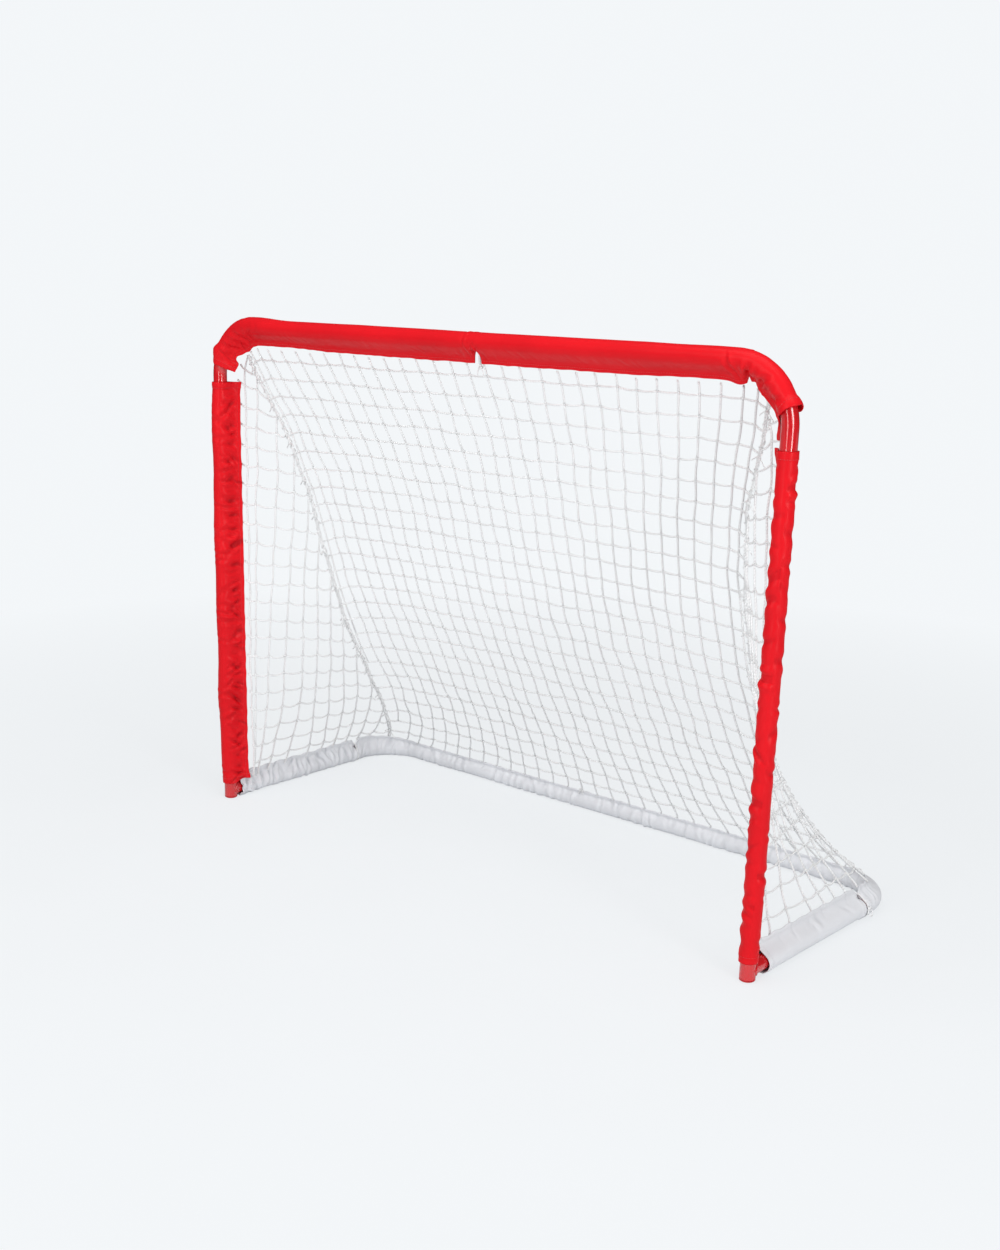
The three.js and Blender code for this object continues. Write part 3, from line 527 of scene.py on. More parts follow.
@dataclass(frozen=True)
class Yarn:
    """Braided cord of the net, the lacing and the ties."""

    name: str
    colour: Triple
    # Darker colour: grey in places and painted shade in the grooves between strands.
    shade: Triple
    strand: float = 0.0042

    def material(self) -> Material:
        """Builds the cord: strands that wind round it, painted shade in the grooves between them,
        fuzz and a little grey in places.

        Returns:
            The material.
        """
        g = Graph(self.name)
        wound = g.stretched(g.surface(), (1 / self.strand, 2.0, 1.0), 0.6)
        strands = g.bands(wound, "X", 0.32, 1.2, 2.0)
        soil = g.ramp(g.noise(26.0, 4.0), 0.35, 0.75, 0.0, 0.6)
        # Grey in places, and painted shade in the grooves between the strands.
        soil_and_groove_shade = g.math("MAXIMUM", soil, g.ramp(strands, 0.0, 0.6, 0.75, 0.0))
        g.set(Base_Color=g.mix(soil_and_groove_shade, tone(self.colour), tone(self.shade)))
        g.set(Roughness=g.ramp(g.noise(900.0, 2.0), 0.3, 0.7, 0.62, 0.85))
        g.set(Sheen_Weight=0.25, Sheen_Roughness=0.5, Specular_IOR_Level=0.3)
        fuzz = g.bump(g.noise(1500.0, 3.0), 0.0003, 0.5)
        g.set(Normal=g.bump(strands, 0.0005, 0.8, fuzz))
        return g.material


@dataclass(frozen=True)
class MouldedPlastic:
    """Plastic of the foot caps, finely sparked by its mould."""

    name: str = "moulded_cap_plastic"
    colour: Triple = (0.55, 0.010, 0.014)
    sole_tint: Triple = (0.35, 0.12, 0.11)

    def material(self) -> Material:
        """Builds the plastic: fine grain, and paler in patches round the sole.

        Returns:
            The material.
        """
        g = Graph(self.name)
        height = g.add("ShaderNodeSeparateXYZ", {"Vector": g.here}).outputs["Z"]
        # Paler in patches within two millimetres of the sole.
        paler_near_sole = g.math("MULTIPLY", g.ramp(height, 0.0, 0.002, 0.5, 0.0), g.noise(700.0, 4.0))
        g.set(Base_Color=g.mix(paler_near_sole, tone(self.colour), tone(self.sole_tint)))
        g.set(Roughness=g.ramp(g.noise(400.0, 3.0), 0.3, 0.7, 0.42, 0.58))
        g.set(Normal=g.bump(g.noise(1800.0, 2.0), 0.0002, 0.4), Specular_IOR_Level=0.45)
        return g.material


@dataclass(frozen=True)
class SpringSteel:
    """Plated spring steel of the snap clips and their buttons."""

    name: str = "spring_steel"
    colour: Triple = (0.56, 0.56, 0.58)

    def material(self) -> Material:
        """Builds the steel: rolled grain along the strip and a duller bloom in places.

        Returns:
            The material.
        """
        g = Graph(self.name)
        bloom = g.ramp(g.noise(120.0, 4.0), 0.4, 0.7, 0.0, 1.0)
        g.set(Base_Color=g.mix(bloom, tone(self.colour), tone(self.colour, 0.72)), Metallic=1.0)
        g.set(Roughness=g.ramp(bloom, 0.0, 1.0, 0.28, 0.45))
        grain = g.noise(2500.0, 2.0, g.stretched(g.here, (0.1, 1.0, 1.0)))
        g.set(Normal=g.bump(grain, 0.0001, 0.25))
        return g.material


# The second colour given for each cloth is the painted shade in its creases.
RED_CLOTH = CoatedCloth("red_coated_cloth", (0.69, 0.0085, 0.0145), (0.34, 0.004, 0.008),
                        roughness=0.42, sheen=0.0, coat=0.13)
WHITE_CLOTH = CoatedCloth("white_coated_cloth", (0.75, 0.76, 0.79), (0.46, 0.47, 0.51),
                          roughness=0.48, sheen=0.0, coat=0.08)
# The second colour given for each yarn is its grey in places and the painted shade in its grooves.
NET_YARN = Yarn("net_yarn", (0.88, 0.885, 0.89), (0.72, 0.73, 0.735))
TIE_CORD = Yarn("tie_cord", (0.93, 0.93, 0.93), (0.80, 0.80, 0.81), 0.003)
RED_THREAD = Yarn("red_sewing_thread", (0.72, 0.022, 0.030), (0.45, 0.010, 0.016), 0.0012)
WHITE_THREAD = Yarn("white_sewing_thread", (0.80, 0.80, 0.82), (0.55, 0.55, 0.58), 0.0012)


@dataclass
class Finishes:
    """Every finish of the goal, built once."""

    paint: Material = field(default_factory=GlossPaint().material)
    red_cloth: Material = field(default_factory=RED_CLOTH.material)
    white_cloth: Material = field(default_factory=WHITE_CLOTH.material)
    yarn: Material = field(default_factory=NET_YARN.material)
    cord: Material = field(default_factory=TIE_CORD.material)
    red_thread: Material = field(default_factory=RED_THREAD.material)
    white_thread: Material = field(default_factory=WHITE_THREAD.material)
    plastic: Material = field(default_factory=MouldedPlastic().material)
    steel: Material = field(default_factory=SpringSteel().material)


# ---- the two bars
@dataclass(frozen=True)
class BarFrames:
    """Places along a bar: the point, the way along, inward and square to its plane."""

    point: Array
    along: Array
    inward: Array
    square: Array
    turn: Array

    def around(self, angle: Array) -> Array:
        """Direction round the tube, in radians from straight inward."""
        a = np.asarray(angle)[..., None]
        return self.inward * np.cos(a) + self.square * np.sin(a)


@dataclass(frozen=True)
class BarLine:
    """Middle line of a bent bar: straight across, a quarter turn, then a straight leg."""

    half_straight: float
    corner_radius: float
    origin: Triple
    leg: Triple
    square: Triple

    @property
    def corner(self) -> float:
        """Length of a corner along the bar."""
        return self.corner_radius * math.pi / 2

    def at(self, distance: Array) -> BarFrames:
        """Frames at signed distances from the middle of the bar.

        The angle turned is the distance into the corner over its radius, so the
        point is straight + radius * sin across and radius * (1 - cos) + leg down.

        Args:
            distance: Any array of distances.

        Returns:
            The frames, with three numbers added to the array's shape.
        """
        d = np.asarray(distance, float)
        side = np.where(d < 0, -1.0, 1.0)
        run = np.abs(d)
        turn = np.clip((run - self.half_straight) / self.corner_radius, 0, np.pi / 2)
        beyond = np.maximum(run - self.half_straight - self.corner, 0)
        straight = np.minimum(run, self.half_straight)
        x = side * (straight + self.corner_radius * np.sin(turn))
        w = self.corner_radius * (1 - np.cos(turn)) + beyond
        down = np.array(self.leg)
        point = np.array(self.origin) + x[..., None] * ACROSS + w[..., None] * down
        cos, sin = np.cos(turn)[..., None], (side * np.sin(turn))[..., None]
        square = np.broadcast_to(np.array(self.square), point.shape)
        return BarFrames(point, cos * ACROSS + sin * down, cos * down - sin * ACROSS, square,
                         turn / (np.pi / 2))


@dataclass(frozen=True)
class GoalSizes:
    """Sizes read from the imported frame, with the few that its boxes don't give."""

    tube: float
    front_y: float
    rear_y: float
    crossbar_z: float
    base_z: float
    half_width: float
    post_joint_z: float
    cloth_radius: float
    base_cloth_radius: float
    corner_radius: float = 0.092
    tube_wall: float = 0.0012
    seat_gap: float = 0.0003
    stub_reach: float = 0.034
    insert_length: float = 0.060
    insert_clearance: float = 0.0003
    post_insert: float = 0.042
    rear_joint_x: float = -0.030
    button_setback: float = 0.030
    button_hole: float = 0.0031
    tie_setback: float = 0.112

    @classmethod
    def from_frame(cls) -> "GoalSizes":
        """Reads the bars' axes and radii from the boxes of the CAD nodes.

        Returns:
            The sizes.
        """
        top_low, top_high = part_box("top_corner_tube_right")
        base_low, base_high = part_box("base_corner_tube_right")
        sleeve_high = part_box("crossbar_sleeve")[1]
        rear_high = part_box("base_sleeve_rear")[1]
        radius = (top_high.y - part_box("post_foot_cap_right")[0].y) / 2
        return cls(tube=radius, front_y=top_high.y - radius, rear_y=base_high.y - radius,
                   half_width=top_high.x - radius, crossbar_z=top_high.z - radius,
                   base_z=(base_low.z + base_high.z) / 2, post_joint_z=top_low.z,
                   cloth_radius=sleeve_high.z - (top_high.z - radius),
                   base_cloth_radius=rear_high.y - (base_high.y - radius))

    @property
    def half_straight(self) -> float:
        """Half the straight run of either bar."""
        return self.half_width - self.corner_radius

    @property
    def leg_offset(self) -> float:
        """Distance along a bar of a place on a leg, less its distance off the straight run."""
        return self.half_straight + self.corner_radius * (math.pi / 2 - 1)

    def bar(self, which: Bar, height: float | None = None) -> BarLine:
        """The middle line of a bar.

        Args:
            which: The bar.
            height: Another height for the base bar, as its loose sleeves lie lower.

        Returns:
            The bar's line.
        """
        if which is Bar.FRONT:
            origin, leg, square = (0.0, self.front_y, self.crossbar_z), -UP, BACK
        else:
            origin, leg, square = (0.0, self.rear_y, height or self.base_z), -BACK, UP
        return BarLine(self.half_straight, self.corner_radius, origin, tuple(leg), tuple(square))

    def at_height(self, z: float) -> float:
        """Distance along the front bar of a height on a post."""
        return self.leg_offset + self.crossbar_z - z

    def behind_post(self, y: float) -> float:
        """Distance along the base bar of a place behind the post axis."""
        return self.leg_offset + self.rear_y - self.front_y - y


# ---- the tubes
@dataclass
class SteelFrame:
    """The bent and welded tubes, their plug joints, snap clips and foot caps."""

    sizes: GoalSizes
    finishes: Finishes
    sides: int = 48
    step: float = 0.006
    edge: float = 0.0005
    sharp_edge: float = 32.0
    front_snap_angle: float = 90.0
    base_snap_angle: float = 26.0
    rear_snap_angle: float = 124.0
    cutter_reach: Triple = (0.004, 0.012, 0.020)
    cutter_sides: int = 24
    insert_taper: float = 0.003
    stub_root: float = 0.04
    saddle_steps: int = 144
    saddle_rise: float = 0.025
    bead: float = 0.0021
    bead_sides: int = 8
    bead_waves: int = 34
    bead_ripple: float = 0.12
    cap_sides: int = 64
    cap_sharp_edge: float = 40.0
    cap_bevel: tuple[tuple[float, float], ...] = ((0.0032, 0.0), (0.0018, 0.0003), (0.0006, 0.0011),
                                                  (0.0, 0.0022))
    rim_bevel: float = 0.0003
    plug_clearance: float = 0.0003
    plug_height: float = 0.013
    plug_wall: float = 0.0016
    plug_ribs: int = 6
    rib_depth: float = 0.0004

    def shell(self, name: str, bar: BarLine, outline: list[tuple[float, float]]) -> Piece:
        """A hollow tube along a bar.

        The outline is carried round the bar's middle line: each point is the middle
        line's place plus the radius times the direction round the tube.

        Args:
            name: The piece's name.
            bar: The bar that it follows.
            outline: Pairs of distance and radius, out along the wall and back inside.

        Returns:
            The closed tube.
        """
        rows = []
        for (a, ra), (b, rb) in zip(outline, outline[1:] + outline[:1]):
            count = max(1, int(abs(b - a) / self.step))
            t = np.arange(count) / count
            rows.append(np.stack([lerp(a, b, t), lerp(ra, rb, t)], -1))
        d, r = np.concatenate(rows).T
        at = bar.at(d[:, None] + np.zeros(self.sides))
        angle = turns(self.sides) + np.zeros((len(d), 1))
        points = at.point + at.around(angle) * r[:, None, None]
        piece = new_piece(name, points, grid_quads(len(d), self.sides, True, True))
        face_outwards(piece)
        return piece

    def outline(self, start: float, end: float, insert: float = 0.0) -> list[tuple[float, float]]:
        """Outline of a tube between two places, with a reduced end where it plugs in.

        Args:
            start: Distance of its plain end.
            end: Distance of its other end.
            insert: Length of the reduced end beyond it, or none.

        Returns:
            Pairs of distance and radius.
        """
        s = self.sizes
        way = math.copysign(1.0, end - start)
        bore = s.tube - s.tube_wall
        e = self.edge * way
        out = [(start, bore + self.edge), (start, s.tube - self.edge), (start + e, s.tube)]
        if not insert:
            return out + [(end - e, s.tube), (end, s.tube - self.edge), (end, bore)]
        small = bore - s.insert_clearance
        inner = small - s.tube_wall
        out += [(end - e, s.tube), (end, s.tube - self.edge), (end, small)]
        out += [(end + way * insert - 2 * e, small), (end + way * insert, small - 2 * self.edge)]
        out += [(end + way * insert, inner), (end - way * s.tube_wall, inner)]
        return out + [(end - way * (s.tube_wall + self.insert_taper), bore)]

    def drill(self, piece: Piece, bar: BarLine, distance: float, degrees: float) -> None:
        """Cuts the hole for a snap button into a tube, square to its axis.

        Args:
            piece: The tube.
            bar: The bar that it follows.
            distance: Place of the hole along the bar.
            degrees: Its direction round the tube.
        """
        at = bar.at(np.array([distance]))
        out = at.around(np.radians([degrees]))
        path = at.point + out * np.array(self.cutter_reach)[:, None]
        cutter = sweep("cutter", path[None], self.sizes.button_hole, at.along, self.cutter_sides)
        face_outwards(cutter)
        modifier = piece.modifiers.new("hole", "BOOLEAN")
        modifier.object = cutter
        modifier.solver = "EXACT"
        graph = bpy.context.evaluated_depsgraph_get()
        drilled = bpy.data.meshes.new_from_object(piece.evaluated_get(graph))
        piece.modifiers.clear()
        piece.data = drilled
        bpy.data.objects.remove(cutter)

    def finish(self, piece: Piece, node: str) -> None:
        """Keeps a tube's rims crisp and paints it."""
        piece.data.set_sharp_from_angle(angle=math.radians(self.sharp_edge))
        place(piece, self.finishes.paint, "tube_paint", node)

    def corners(self) -> None:
        """Builds the four bent corner tubes."""
        s = self.sizes
        front, base = s.bar(Bar.FRONT), s.bar(Bar.BASE)
        gap = s.seat_gap / 2
        joint = s.at_height(s.post_joint_z - s.seat_gap / 2)
        stub = s.behind_post(s.stub_reach)
        setback = s.button_setback
        for side in Side:
            k = side.value
            insert = s.insert_length if side is Side.LEFT else 0.0
            piece = self.shell(f"painted_top_corner_{side.word}", front,
                               self.outline(k * (joint - gap), k * gap, insert))
            for button in (k * (joint - setback), setback):
                self.drill(piece, front, button, self.front_snap_angle)
            self.finish(piece, f"top_corner_tube_{side.word}")
            insert = s.insert_length if side is Side.RIGHT else 0.0
            piece = self.shell(f"painted_base_corner_{side.word}", base,
                               self.outline(k * (stub - gap), s.rear_joint_x + k * gap, insert))
            self.drill(piece, base, k * (stub - setback), self.base_snap_angle)
            self.drill(piece, base, s.rear_joint_x - setback, self.rear_snap_angle)
            self.finish(piece, f"base_corner_tube_{side.word}")

    def posts(self) -> None:
        """Builds the posts with their welded stubs and weld beads."""
        s = self.sizes
        front, base = s.bar(Bar.FRONT), s.bar(Bar.BASE)
        joint = s.at_height(s.post_joint_z - s.seat_gap / 2)
        sole = s.at_height(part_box("post_tube_right")[0].z)
        for side in Side:
            k = side.value
            top = k * (joint + s.seat_gap / 2)
            post = self.shell("post", front, self.outline(k * sole, top, s.post_insert))
            self.drill(post, front, k * (joint - s.button_setback), self.front_snap_angle)
            root = k * s.behind_post(s.tube * self.stub_root)
            stub_end = k * (s.behind_post(s.stub_reach) + s.seat_gap / 2)
            stub = self.shell("stub", base, self.outline(root, stub_end, s.insert_length))
            button = k * (s.behind_post(s.stub_reach) - s.button_setback)
            self.drill(stub, base, button, self.base_snap_angle)
            turn = turns(self.saddle_steps)
            behind = np.sqrt(np.cos(turn) ** 2 + self.saddle_rise)
            saddle = np.stack([k * s.half_width + s.tube * np.sin(turn),
                               s.front_y + s.tube * behind,
                               s.base_z + s.tube * np.cos(turn)], -1)
            ripple = 1 + self.bead_ripple * np.sin(turn * self.bead_waves)
            weld = sweep("weld", saddle[None], self.bead * ripple, BACK, self.bead_sides, True)
            face_outwards(weld)
            piece = join(f"painted_post_{side.word}", [post, stub, weld])
            self.finish(piece, f"post_tube_{side.word}")

    def caps(self) -> None:
        """Turns the moulded foot caps: a bevelled sole and a hollow ribbed plug."""
        s = self.sizes
        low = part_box("post_foot_cap_right")[0].z
        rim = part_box("post_tube_right")[0].z - s.seat_gap
        plug = s.tube - s.tube_wall - self.plug_clearance
        inside = plug - self.plug_wall
        outline = [(0.0, 0.0)] + [(s.tube - back, up) for back, up in self.cap_bevel]
        outline += [(s.tube, rim - self.rim_bevel), (s.tube - self.rim_bevel, rim), (plug, rim)]
        outline += [(plug - self.rib_depth * (n % 2), rim + self.plug_height * n / self.plug_ribs)
                    for n in range(1, self.plug_ribs + 1)]
        outline += [(inside, rim + self.plug_height), (inside, rim), (0.0, rim)]
        r, z = np.array(outline).T
        turn = turns(self.cap_sides)
        quads = grid_quads(len(r), self.cap_sides, False, True)
        for side in Side:
            points = np.stack([side.value * s.half_width + r[:, None] * np.cos(turn),
                               s.front_y + r[:, None] * np.sin(turn),
                               low + z[:, None] + 0 * turn], -1)
            piece = new_piece(f"moulded_foot_cap_{side.word}", points, quads)
            weld_points(piece)
            face_outwards(piece)
            piece.data.set_sharp_from_angle(angle=math.radians(self.cap_sharp_edge))
            place(piece, self.finishes.plastic, "cap_plastic", f"post_foot_cap_{side.word}")

    def clips(self) -> None:
        """Dresses the snap buttons and clips, which keep the shapes they were imported with."""
        for name, node in sorted(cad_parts.items()):
            if name.startswith("snap_"):
                node.data.materials.clear()
                node.data.materials.append(self.finishes.steel)
                log.info("%s dressed in spring steel", name)

    def build(self) -> None:
        """Builds all the metal and the caps."""
        self.corners()
        self.posts()
        self.caps()
        self.clips()


# ---- the sleeves
@dataclass(frozen=True)
class Cloth:
    """How a sleeve is cut and sewn: its round, and its flap on the bar's straight and legs."""

    bar: BarLine
    radius: float
    angles: tuple[float, float]
    flaps: tuple[float, float]
    core: float
    half_flap: float = 0.0012
    wall: float = 0.0008

    def flap_angle(self, turn: Array) -> Array:
        """Direction of the flap round the tube."""
        return np.radians(lerp(self.angles[0], self.angles[1], turn))

    def reach(self, turn: Array) -> Array:
        """Distance from the middle line to the sewn edge as it is cut."""
        return self.radius + lerp(self.flaps[0], self.flaps[1], turn)

    def edge(self, distance: Array, gap: Array) -> tuple[Array, Array]:
        """Points beyond the sewn edge and the flap's direction there.

        Args:
            distance: Places along the bar.
            gap: How far beyond the edge.

        Returns:
            The points and the directions.
        """
        at = self.bar.at(distance)
        out = at.around(self.flap_angle(at.turn))
        return at.point + out * (self.reach(at.turn) + gap)[..., None], out


@dataclass(frozen=True)
class Folds:
    """How a sleeve creases: many short folds across it, scattered by a seed."""

    pitch: float = 0.014
    depth: float = 0.0020
    width: float = 0.0034
    length: float = 0.013
    place: float = 0.024
    spread: float = 0.012
    tilt: float = 0.45
    front_share: float = 0.68
    crest: float = 0.6

    def over(self, s: Array, around: Array, low: float, high: float, seed: int) -> Array:
        """Sum of the folds at every place of the cloth.

        A fold is a valley between two lower crests, -exp(-t^2) + crest exp(-(t - 1.8)^2)
        + 0.6 crest exp(-(t + 1.8)^2), where t runs across it in widths, and it fades
        along its length as a bell.

        Args:
            s: Distances along the bar.
            around: Distances round the section from the sewn edge, below 0 in front.
            low: Where the folds start along the bar.
            high: Where they end.
            seed: Scatters them.

        Returns:
            Heights, in metres.
        """
        random = np.random.default_rng(seed)
        count = max(1, int((high - low) / self.pitch))
        middle = low + (np.arange(count) + random.uniform(0.1, 0.9, count)) * self.pitch
        face = np.where(random.uniform(size=count) < self.front_share, -1.0, 1.0)
        height = face * np.abs(random.normal(self.place, self.spread, count))
        tilt = random.normal(0.0, self.tilt, count)
        bend = random.normal(0.0, 9.0, count)
        size = random.uniform(0.6, 1.4, (3, count))
        total = np.zeros_like(around)
        for k in range(count):
            off = around - height[k]
            t = (s - middle[k] - tilt[k] * off - bend[k] * off**2) / (self.width * size[0, k])
            crests = np.exp(-((t - 1.8) ** 2)) + 0.6 * np.exp(-((t + 1.8) ** 2))
            shape = self.crest * crests - np.exp(-(t**2))
            fade = np.exp(-((off / (self.length * size[2, k])) ** 2))
            total += self.depth * size[1, k] * shape * fade
        return total


SMOOTH = Folds(pitch=0.017, depth=0.0017, width=0.0040, length=0.014)
DIMPLES = Folds(pitch=0.0135, depth=0.0032, width=0.0050, length=0.011, place=0.021,
                spread=0.006, tilt=0.35, front_share=0.85, crest=0.7)
ARCS = Folds(pitch=0.020, depth=0.0022, width=0.0050, length=0.016, place=0.036, spread=0.010,
             tilt=0.5, front_share=0.75, crest=0.7)
WRAPS = Folds(pitch=0.028, depth=0.0016, width=0.0060, length=0.022, place=0.048,
              tilt=0.4, front_share=0.5, crest=0.7)
RIPPLES = Folds(pitch=0.026, depth=0.0011, width=0.0060, length=0.018, place=0.036,
                spread=0.010, tilt=0.5, front_share=0.75, crest=0.7)
GATHERS = Folds(pitch=0.095, depth=0.0034, width=0.0062, length=0.026, place=0.046,
                spread=0.014, front_share=0.9)
SOFT = Folds(pitch=0.020, depth=0.0024, width=0.0050, length=0.016, place=0.016, spread=0.010)
HUNG = Folds(pitch=0.017, depth=0.0046, width=0.0046, length=0.024, place=0.017, tilt=0.15,
             front_share=0.85, crest=0.7)
CRUMPLED = Folds(pitch=0.0075, depth=0.0030, width=0.0046, length=0.018, tilt=0.25,
                 front_share=0.75, crest=0.8)


@dataclass
class Sleeve:
    """A strip of cloth wrapped round a bar and sewn to itself along its two edges.

    Each section is a drop: the round of radius * (cos, sin) about the tube, a cubic
    curve that leaves it along its tangent on either side, and the flat seam where the
    two layers meet. The flap points along x of the section.
    """

    name: str
    cloth: Cloth
    start: float
    end: float
    seed: int
    folds: tuple[Folds, ...] = (Folds(),)
    step: float = 0.0021
    round_points: int = 34
    tent_points: int = 11
    seam_points: int = 5
    seam_width: float = 0.0075
    slack_room: float = 0.0009
    billow: float = 0.0006
    crinkle: float = 0.00022
    scallop: float = 0.0003
    ragged: float = 0.0006
    sway: float = 0.0012
    pitch: float = 0.0376
    hem_wall: float = 0.0005
    hem_width: float = 0.0145
    stitch: float = 0.0032
    stitch_pause: float = 0.0013
    stitch_lift: float = 0.00012
    stitch_radii: tuple[float, ...] = (0.00018, 0.00032, 0.00036, 0.00032, 0.00018)
    hem_stitch: float = 0.0105
    fine_places: tuple[float, ...] = ()

    @property
    def limits(self) -> tuple[float, float]:
        """The lower and the upper end along the bar."""
        return min(self.start, self.end), max(self.start, self.end)

    def stations(self) -> Array:
        """Distances of the sections, closer together where the edge is cut."""
        low, high = self.limits
        places = [np.linspace(low, high, max(8, int((high - low) / self.step)))]
        places += [np.linspace(at - 0.009, at + 0.009, 31) for at in self.fine_places]
        s = np.unique(np.concatenate(places).round(6))
        s = s[(s >= low - 1e-9) & (s <= high + 1e-9)]
        return s[np.concatenate([[True], np.diff(s) > 2e-4])]

    def from_ends(self, s: Array) -> tuple[Array, Array]:
        """Distance of each place from the sleeve's start and from its end."""
        return np.abs(s - self.start), np.abs(s - self.end)

    def reach(self, s: Array) -> Array:
        """Distance from the tube's middle to the sewn edge."""
        return self.cloth.reach(self.cloth.bar.at(s).turn)

    def angle(self, s: Array) -> Array:
        """Direction of the flap round the tube."""
        return self.cloth.flap_angle(self.cloth.bar.at(s).turn)

    def slack(self, s: Array, x: Array, y: Array) -> Array:
        """How far the cloth stands off its straight cut."""
        return np.zeros_like(x)

    def slant(self, s: Array, x: Array, y: Array) -> Array:
        """How far the ends of the sleeve run on along the bar."""
        return np.zeros_like(x)

    def creasing(self, s: Array, x: Array, y: Array) -> Array:
        """Share of the full creasing at a place of the cloth."""
        return np.ones_like(x)

    def ring(self, s: Array) -> tuple[Array, Array, Array]:
        """The section's outline at every station, before it creases.

        Args:
            s: Distances along the bar.

        Returns:
            x and y in the section, and the reach of its sewn edge.
        """
        r, half = self.cloth.radius, self.cloth.half_flap
        reach = np.maximum(self.reach(s), r + 0.003)[:, None]
        root = np.minimum(np.maximum(reach - self.seam_width, r + 0.0012), reach - 0.0016)
        open_ = np.arccos(r / np.hypot(root, half)) + np.arctan2(half, root)
        run = np.sqrt(root**2 + half**2 - r**2)
        turn = lerp(open_, 2 * np.pi - open_, np.linspace(0, 1, self.round_points)[None])
        t = (np.arange(1, self.tent_points + 1) / (self.tent_points + 1))[None]
        weights = (1 - t) ** 3, 3 * t * (1 - t) ** 2, 3 * t**2 * (1 - t), t**3
        leave_x = r * np.cos(open_) + 0.38 * run * np.sin(open_)
        leave_y = r * np.sin(open_) - 0.38 * run * np.cos(open_)
        tent_x = (weights[0] * r * np.cos(open_) + weights[1] * leave_x
                  + weights[2] * (root - 0.30 * run) + weights[3] * root)
        tent_y = (weights[0] * r * np.sin(open_) + weights[1] * leave_y
                  + (weights[2] + weights[3]) * half)
        seam_x = lerp(root, reach - half, np.linspace(0, 1, self.seam_points)[None])
        lip = np.radians([60.0, 20.0, -20.0, -60.0])[None]
        lip_x, lip_y = reach - half + half * np.cos(lip), half * np.sin(lip) + 0 * reach
        flat = half + 0 * seam_x
        turn = turn[:, ::-1]
        x = [seam_x, lip_x, seam_x[:, ::-1], tent_x[:, ::-1], r * np.cos(turn), tent_x]
        y = [flat, lip_y, -flat, -tent_y[:, ::-1], r * np.sin(turn), tent_y]
        return np.concatenate(x, 1), np.concatenate(y, 1), reach

    def surface(self) -> tuple[Array, Array, Array, Array]:
        """The cloth's outer and inner faces.

        The cloth moves along the section's normal by its slack, billows, folds and
        fine crinkles, and no further in than the tube or the other layer allows. The
        sewn edge sways across the flap, and the inner face lies one wall inside.

        Returns:
            Outer points, inner points, the share of painted shade in the creases and the stations.
        """
        s = self.stations()
        x, y, reach = self.ring(s)
        r, half = self.cloth.radius, self.cloth.half_flap
        normal = self.normals(x, y)
        long = s[:, None] + 0 * x
        lengths = np.hypot(np.diff(x, axis=1, append=x[:, :1]),
                           np.diff(y, axis=1, append=y[:, :1]))
        walk = np.cumsum(lengths, 1) - lengths
        walk = walk - walk[:, self.seam_points + 1:self.seam_points + 2]
        girth = lengths.sum(1, keepdims=True)
        around = np.where(walk > girth / 2, girth - walk, -walk)
        low, high = self.limits
        share = self.creasing(long, x, y)
        folds = share * sum(kind.over(long, around, low, high, self.seed + 100 * n)
                            for n, kind in enumerate(self.folds))
        slow = noise(np.stack([long / 0.06, x / 0.03, y / 0.03], -1), self.seed + 3)
        fine = noise(np.stack([long / 0.009, x / 0.012, y / 0.012], -1), self.seed + 7)
        tent = ease(x, 0.45 * r, 1.1 * r)
        seam = ease(x, reach - self.seam_width - 0.004, reach - self.seam_width + 0.002)
        move = (self.billow * slow + self.crinkle * fine * share + folds) * (1 - 0.8 * seam)
        room = lerp(self.slack_room, np.maximum(np.abs(y) - half, 0) * 0.85, tent)
        to_tube = np.hypot(x, y) - self.cloth.core - self.cloth.wall - 0.0002
        room = np.minimum(room, np.maximum(to_tube, 0.0001))
        slack = self.slack(long, x, y) * (1 - seam)
        move = np.maximum(move + slack, -room)
        x2, y2 = x + move * normal[..., 0], y + move * normal[..., 1]
        out = np.clip((x - 0.3 * r) / (reach - 0.3 * r), 0, 1) ** 1.5
        wave = noise(np.stack([long / 0.042, 0 * long + 0.5, 0 * long], -1), self.seed + 21)
        y2 = y2 + self.sway * wave * out
        edge = noise(np.stack([long / 0.012, 0 * long, 0 * long + 0.5], -1), self.seed + 31)
        scallops = self.scallop * np.cos(2 * np.pi * long / self.pitch)
        x2 = x2 + (scallops + self.ragged * edge) * out**3
        normal = self.normals(x2, y2)
        hem = self.hem(long)
        outer = self.carry(long, x, y, x2 + hem * normal[..., 0], y2 + hem * normal[..., 1])
        wall = self.cloth.wall
        inner = self.carry(long, x, y, x2 - wall * normal[..., 0], y2 - wall * normal[..., 1])
        # Painted shade: the deeper a fold's valley, the darker its colour, more so in the tent
        # between tube and flap.
        crease_shade = np.clip(-folds / self.folds[0].depth, 0, 1) * (0.45 + 0.55 * tent)
        return outer, inner, crease_shade, s

    @staticmethod
    def normals(x: Array, y: Array) -> Array:
        """Outward direction of a closed outline, square to its neighbours' chord."""
        dx = np.roll(x, -1, 1) - np.roll(x, 1, 1)
        dy = np.roll(y, -1, 1) - np.roll(y, 1, 1)
        return unit(np.stack([-dy, dx], -1))

    def hem(self, s: Array) -> Array:
        """Extra thickness of the turned hems at the two ends."""
        near = np.minimum(*self.from_ends(s))
        return self.hem_wall * (1 - ease(near, self.hem_width - 0.0015, self.hem_width))

    def carry(self, s: Array, x0: Array, y0: Array, x: Array, y: Array) -> Array:
        """Carries section points onto the bar, and lays what would sink on the floor.

        Args:
            s: Distances along the bar.
            x0: Places across the section as it is cut.
            y0: The same, square to the flap.
            x: Places across the creased section.
            y: The same, square to the flap.

        Returns:
            The points.
        """
        moved = s + self.slant(s, x0, y0)
        at = self.cloth.bar.at(moved)
        angle = self.angle(moved)
        points = at.point + at.around(angle) * x[..., None]
        points = points + at.around(angle + np.pi / 2) * y[..., None]
        points[..., 2] = np.maximum(points[..., 2], 0.0002)
        return points

